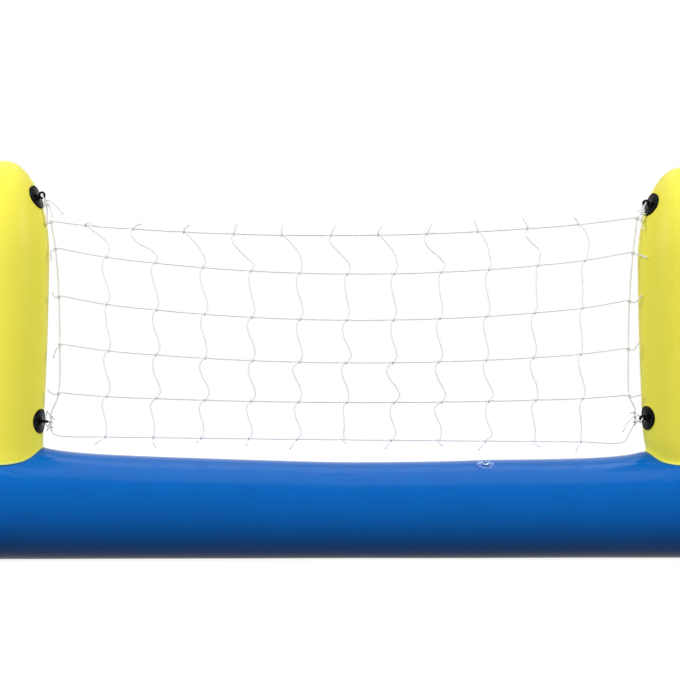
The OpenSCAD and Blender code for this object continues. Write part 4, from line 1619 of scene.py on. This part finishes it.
    def build(self, fibre: bpy.types.Material) -> list[bpy.types.Object]:
        """Build every cord of the net and its ties.

        Args:
            fibre: The cord's finish.

        Returns:
            The cords.
        """
        pieces = [self.cord("head_line" if k == HEAD else f"mesh_line_{k}", self.line_path(k), fibre)
                  for k in LINES[:-1]]
        pieces.append(self.cord("foot_line", self.foot_path(), fibre))
        pieces += [self.cord(f"drop_cord_{i}", self.drop_path(i), fibre) for i in CORDS]
        pieces += [self.cord(f"{side.name.lower()}_side_line", self.side_path(side.value), fibre)
                   for side in Side]
        pieces += [self.cord(f"{corner.label}_tie", self.tie_path(corner), fibre) for corner in Corner]
        return pieces


@dataclass(frozen=True)
class SoftBox:
    """A square soft box, which may be left out of the fill or of the gloss."""

    name: str
    spot: Point
    aim: Point
    size: float
    power: float
    fill: bool = True
    gloss: bool = True

    def hang(self) -> None:
        """Hang the box."""
        data = bpy.data.lights.new(self.name, "AREA")
        data.shape = "SQUARE"
        data.size = self.size
        data.energy = self.power
        lamp = bpy.data.objects.new(self.name, data)
        bpy.context.collection.objects.link(lamp)
        lamp.location = self.spot
        lamp.rotation_euler = (Vector(self.aim) - Vector(self.spot)).to_track_quat("-Z", "Y").to_euler()
        lamp.visible_diffuse = self.fill
        lamp.visible_glossy = self.gloss


# two boxes in front light the set, one behind only fills, and one overhead is only there for the gloss
SOFT_BOXES = (
    SoftBox("left_box", (-3.15, -2.0, 2.3), (0.0, 0.0, 0.5), 2.2, 124.0),
    SoftBox("right_box", (3.15, -2.0, 2.3), (0.0, 0.0, 0.5), 2.2, 124.0),
    SoftBox("back_box", (0.0, 3.4, 2.3), (0.0, 0.0, 0.5), 2.2, 60.0, gloss=False),
    SoftBox("sheen_box", (0.0, 0.15, 2.7), (0.0, 0.15, 0.1), 2.9, 85.0, fill=False),
)


@dataclass
class Studio:
    """A white paper sweep, soft boxes and the camera in front of the set."""

    spot: Point = (-0.146, -3.297, 0.361)
    heading: float = 0.0443
    roll: float = 0.0025
    lens: float = 75.96
    shift: tuple[float, float] = (-0.0091, 0.0882)
    air: float = 0.42
    paper_half: float = 60000.0
    paper_z: float = -0.6

    def camera(self) -> None:
        """Set up the camera."""
        data = bpy.data.cameras.new("camera")
        data.lens = self.lens
        data.sensor_width = 36.0
        data.sensor_fit = "HORIZONTAL"
        data.shift_x, data.shift_y = self.shift
        data.clip_start, data.clip_end = 0.05, 100.0
        camera = bpy.data.objects.new("camera", data)
        bpy.context.collection.objects.link(camera)
        right = Vector((math.cos(self.heading), -math.sin(self.heading), 0))
        up = Vector((0, 0, 1))
        x = right * math.cos(self.roll) + up * math.sin(self.roll)
        y = -right * math.sin(self.roll) + up * math.cos(self.roll)
        z = x.cross(y)
        camera.matrix_world = Matrix(((x.x, y.x, z.x, self.spot[0]), (x.y, y.y, z.y, self.spot[1]),
                                      (x.z, y.z, z.z, self.spot[2]), (0, 0, 0, 1)))
        bpy.context.scene.camera = camera

    def sweep(self) -> None:
        """Lay the paper and set the world."""
        w = self.paper_half
        corners = [(x, y, self.paper_z) for x, y in ((-w, -w), (w, -w), (w, w), (-w, w))]
        floor = mesh_object("paper_floor", corners, [(0, 1, 2, 3)], [PAPER.build()])
        world = bpy.data.worlds.new("studio_air")
        bpy.context.scene.world = world
        world.use_nodes = True
        tree = world.node_tree
        tree.nodes.clear()
        strength = add_node(tree, "ShaderNodeMapRange", {"To Min": self.air, "To Max": 1.0},
                            {"Value": background_share(tree)})
        glow = add_node(tree, "ShaderNodeBackground", {"Color": (1, 1, 1, 1)},
                        {"Strength": strength.outputs["Result"]})
        add_node(tree, "ShaderNodeOutputWorld", None, {"Surface": glow.outputs[0]})

    def build(self) -> None:
        """Build the studio."""
        bpy.context.scene.view_settings.view_transform = "Standard"
        self.camera()
        self.sweep()
        for box in SOFT_BOXES:
            box.hang()


# nip and tuck of each post's foot
FEET = {Side.LEFT: (0.4, -2.0), Side.RIGHT: (1.6, 3.5)}


def main() -> None:
    """Build the pieces in order and report each."""
    logging.basicConfig(level=logging.INFO, format="%(name)s: %(message)s")
    Studio().build()
    LOG.info("studio ready")
    blue, yellow, weld, bead = BLUE_FILM.build(), YELLOW_FILM.build(), WELD_FILM.build(), WELD_EDGE_SHADE.build()
    LOG.info("floor tube: %d faces", len(FloorTube(SIZES).build(blue).data.polygons))
    for side in Side:
        LOG.info("%s float: %d faces", side.name, len(CrossFloat(SIZES, side).build(blue).data.polygons))
        post = Post(SIZES, side, *FEET[side]).build(yellow, weld, bead)
        LOG.info("%s post: %d faces", side.name, len(post.data.polygons))
    patches = RopePatches(SIZES)
    patches.dress(BLACK_MOULDING.build())
    LOG.info("rope patches: %d", len(Corner))
    valves = AirValves()
    valves.dress(CLEAR_MOULDING.build())
    LOG.info("air valves: %d", len(valves.chambers))
    for cord in Net(SIZES, patches).build(NET_CORD.build()):
        LOG.info("%s: %d faces", cord.name, len(cord.data.polygons))


if __name__ == "__main__":
    main()
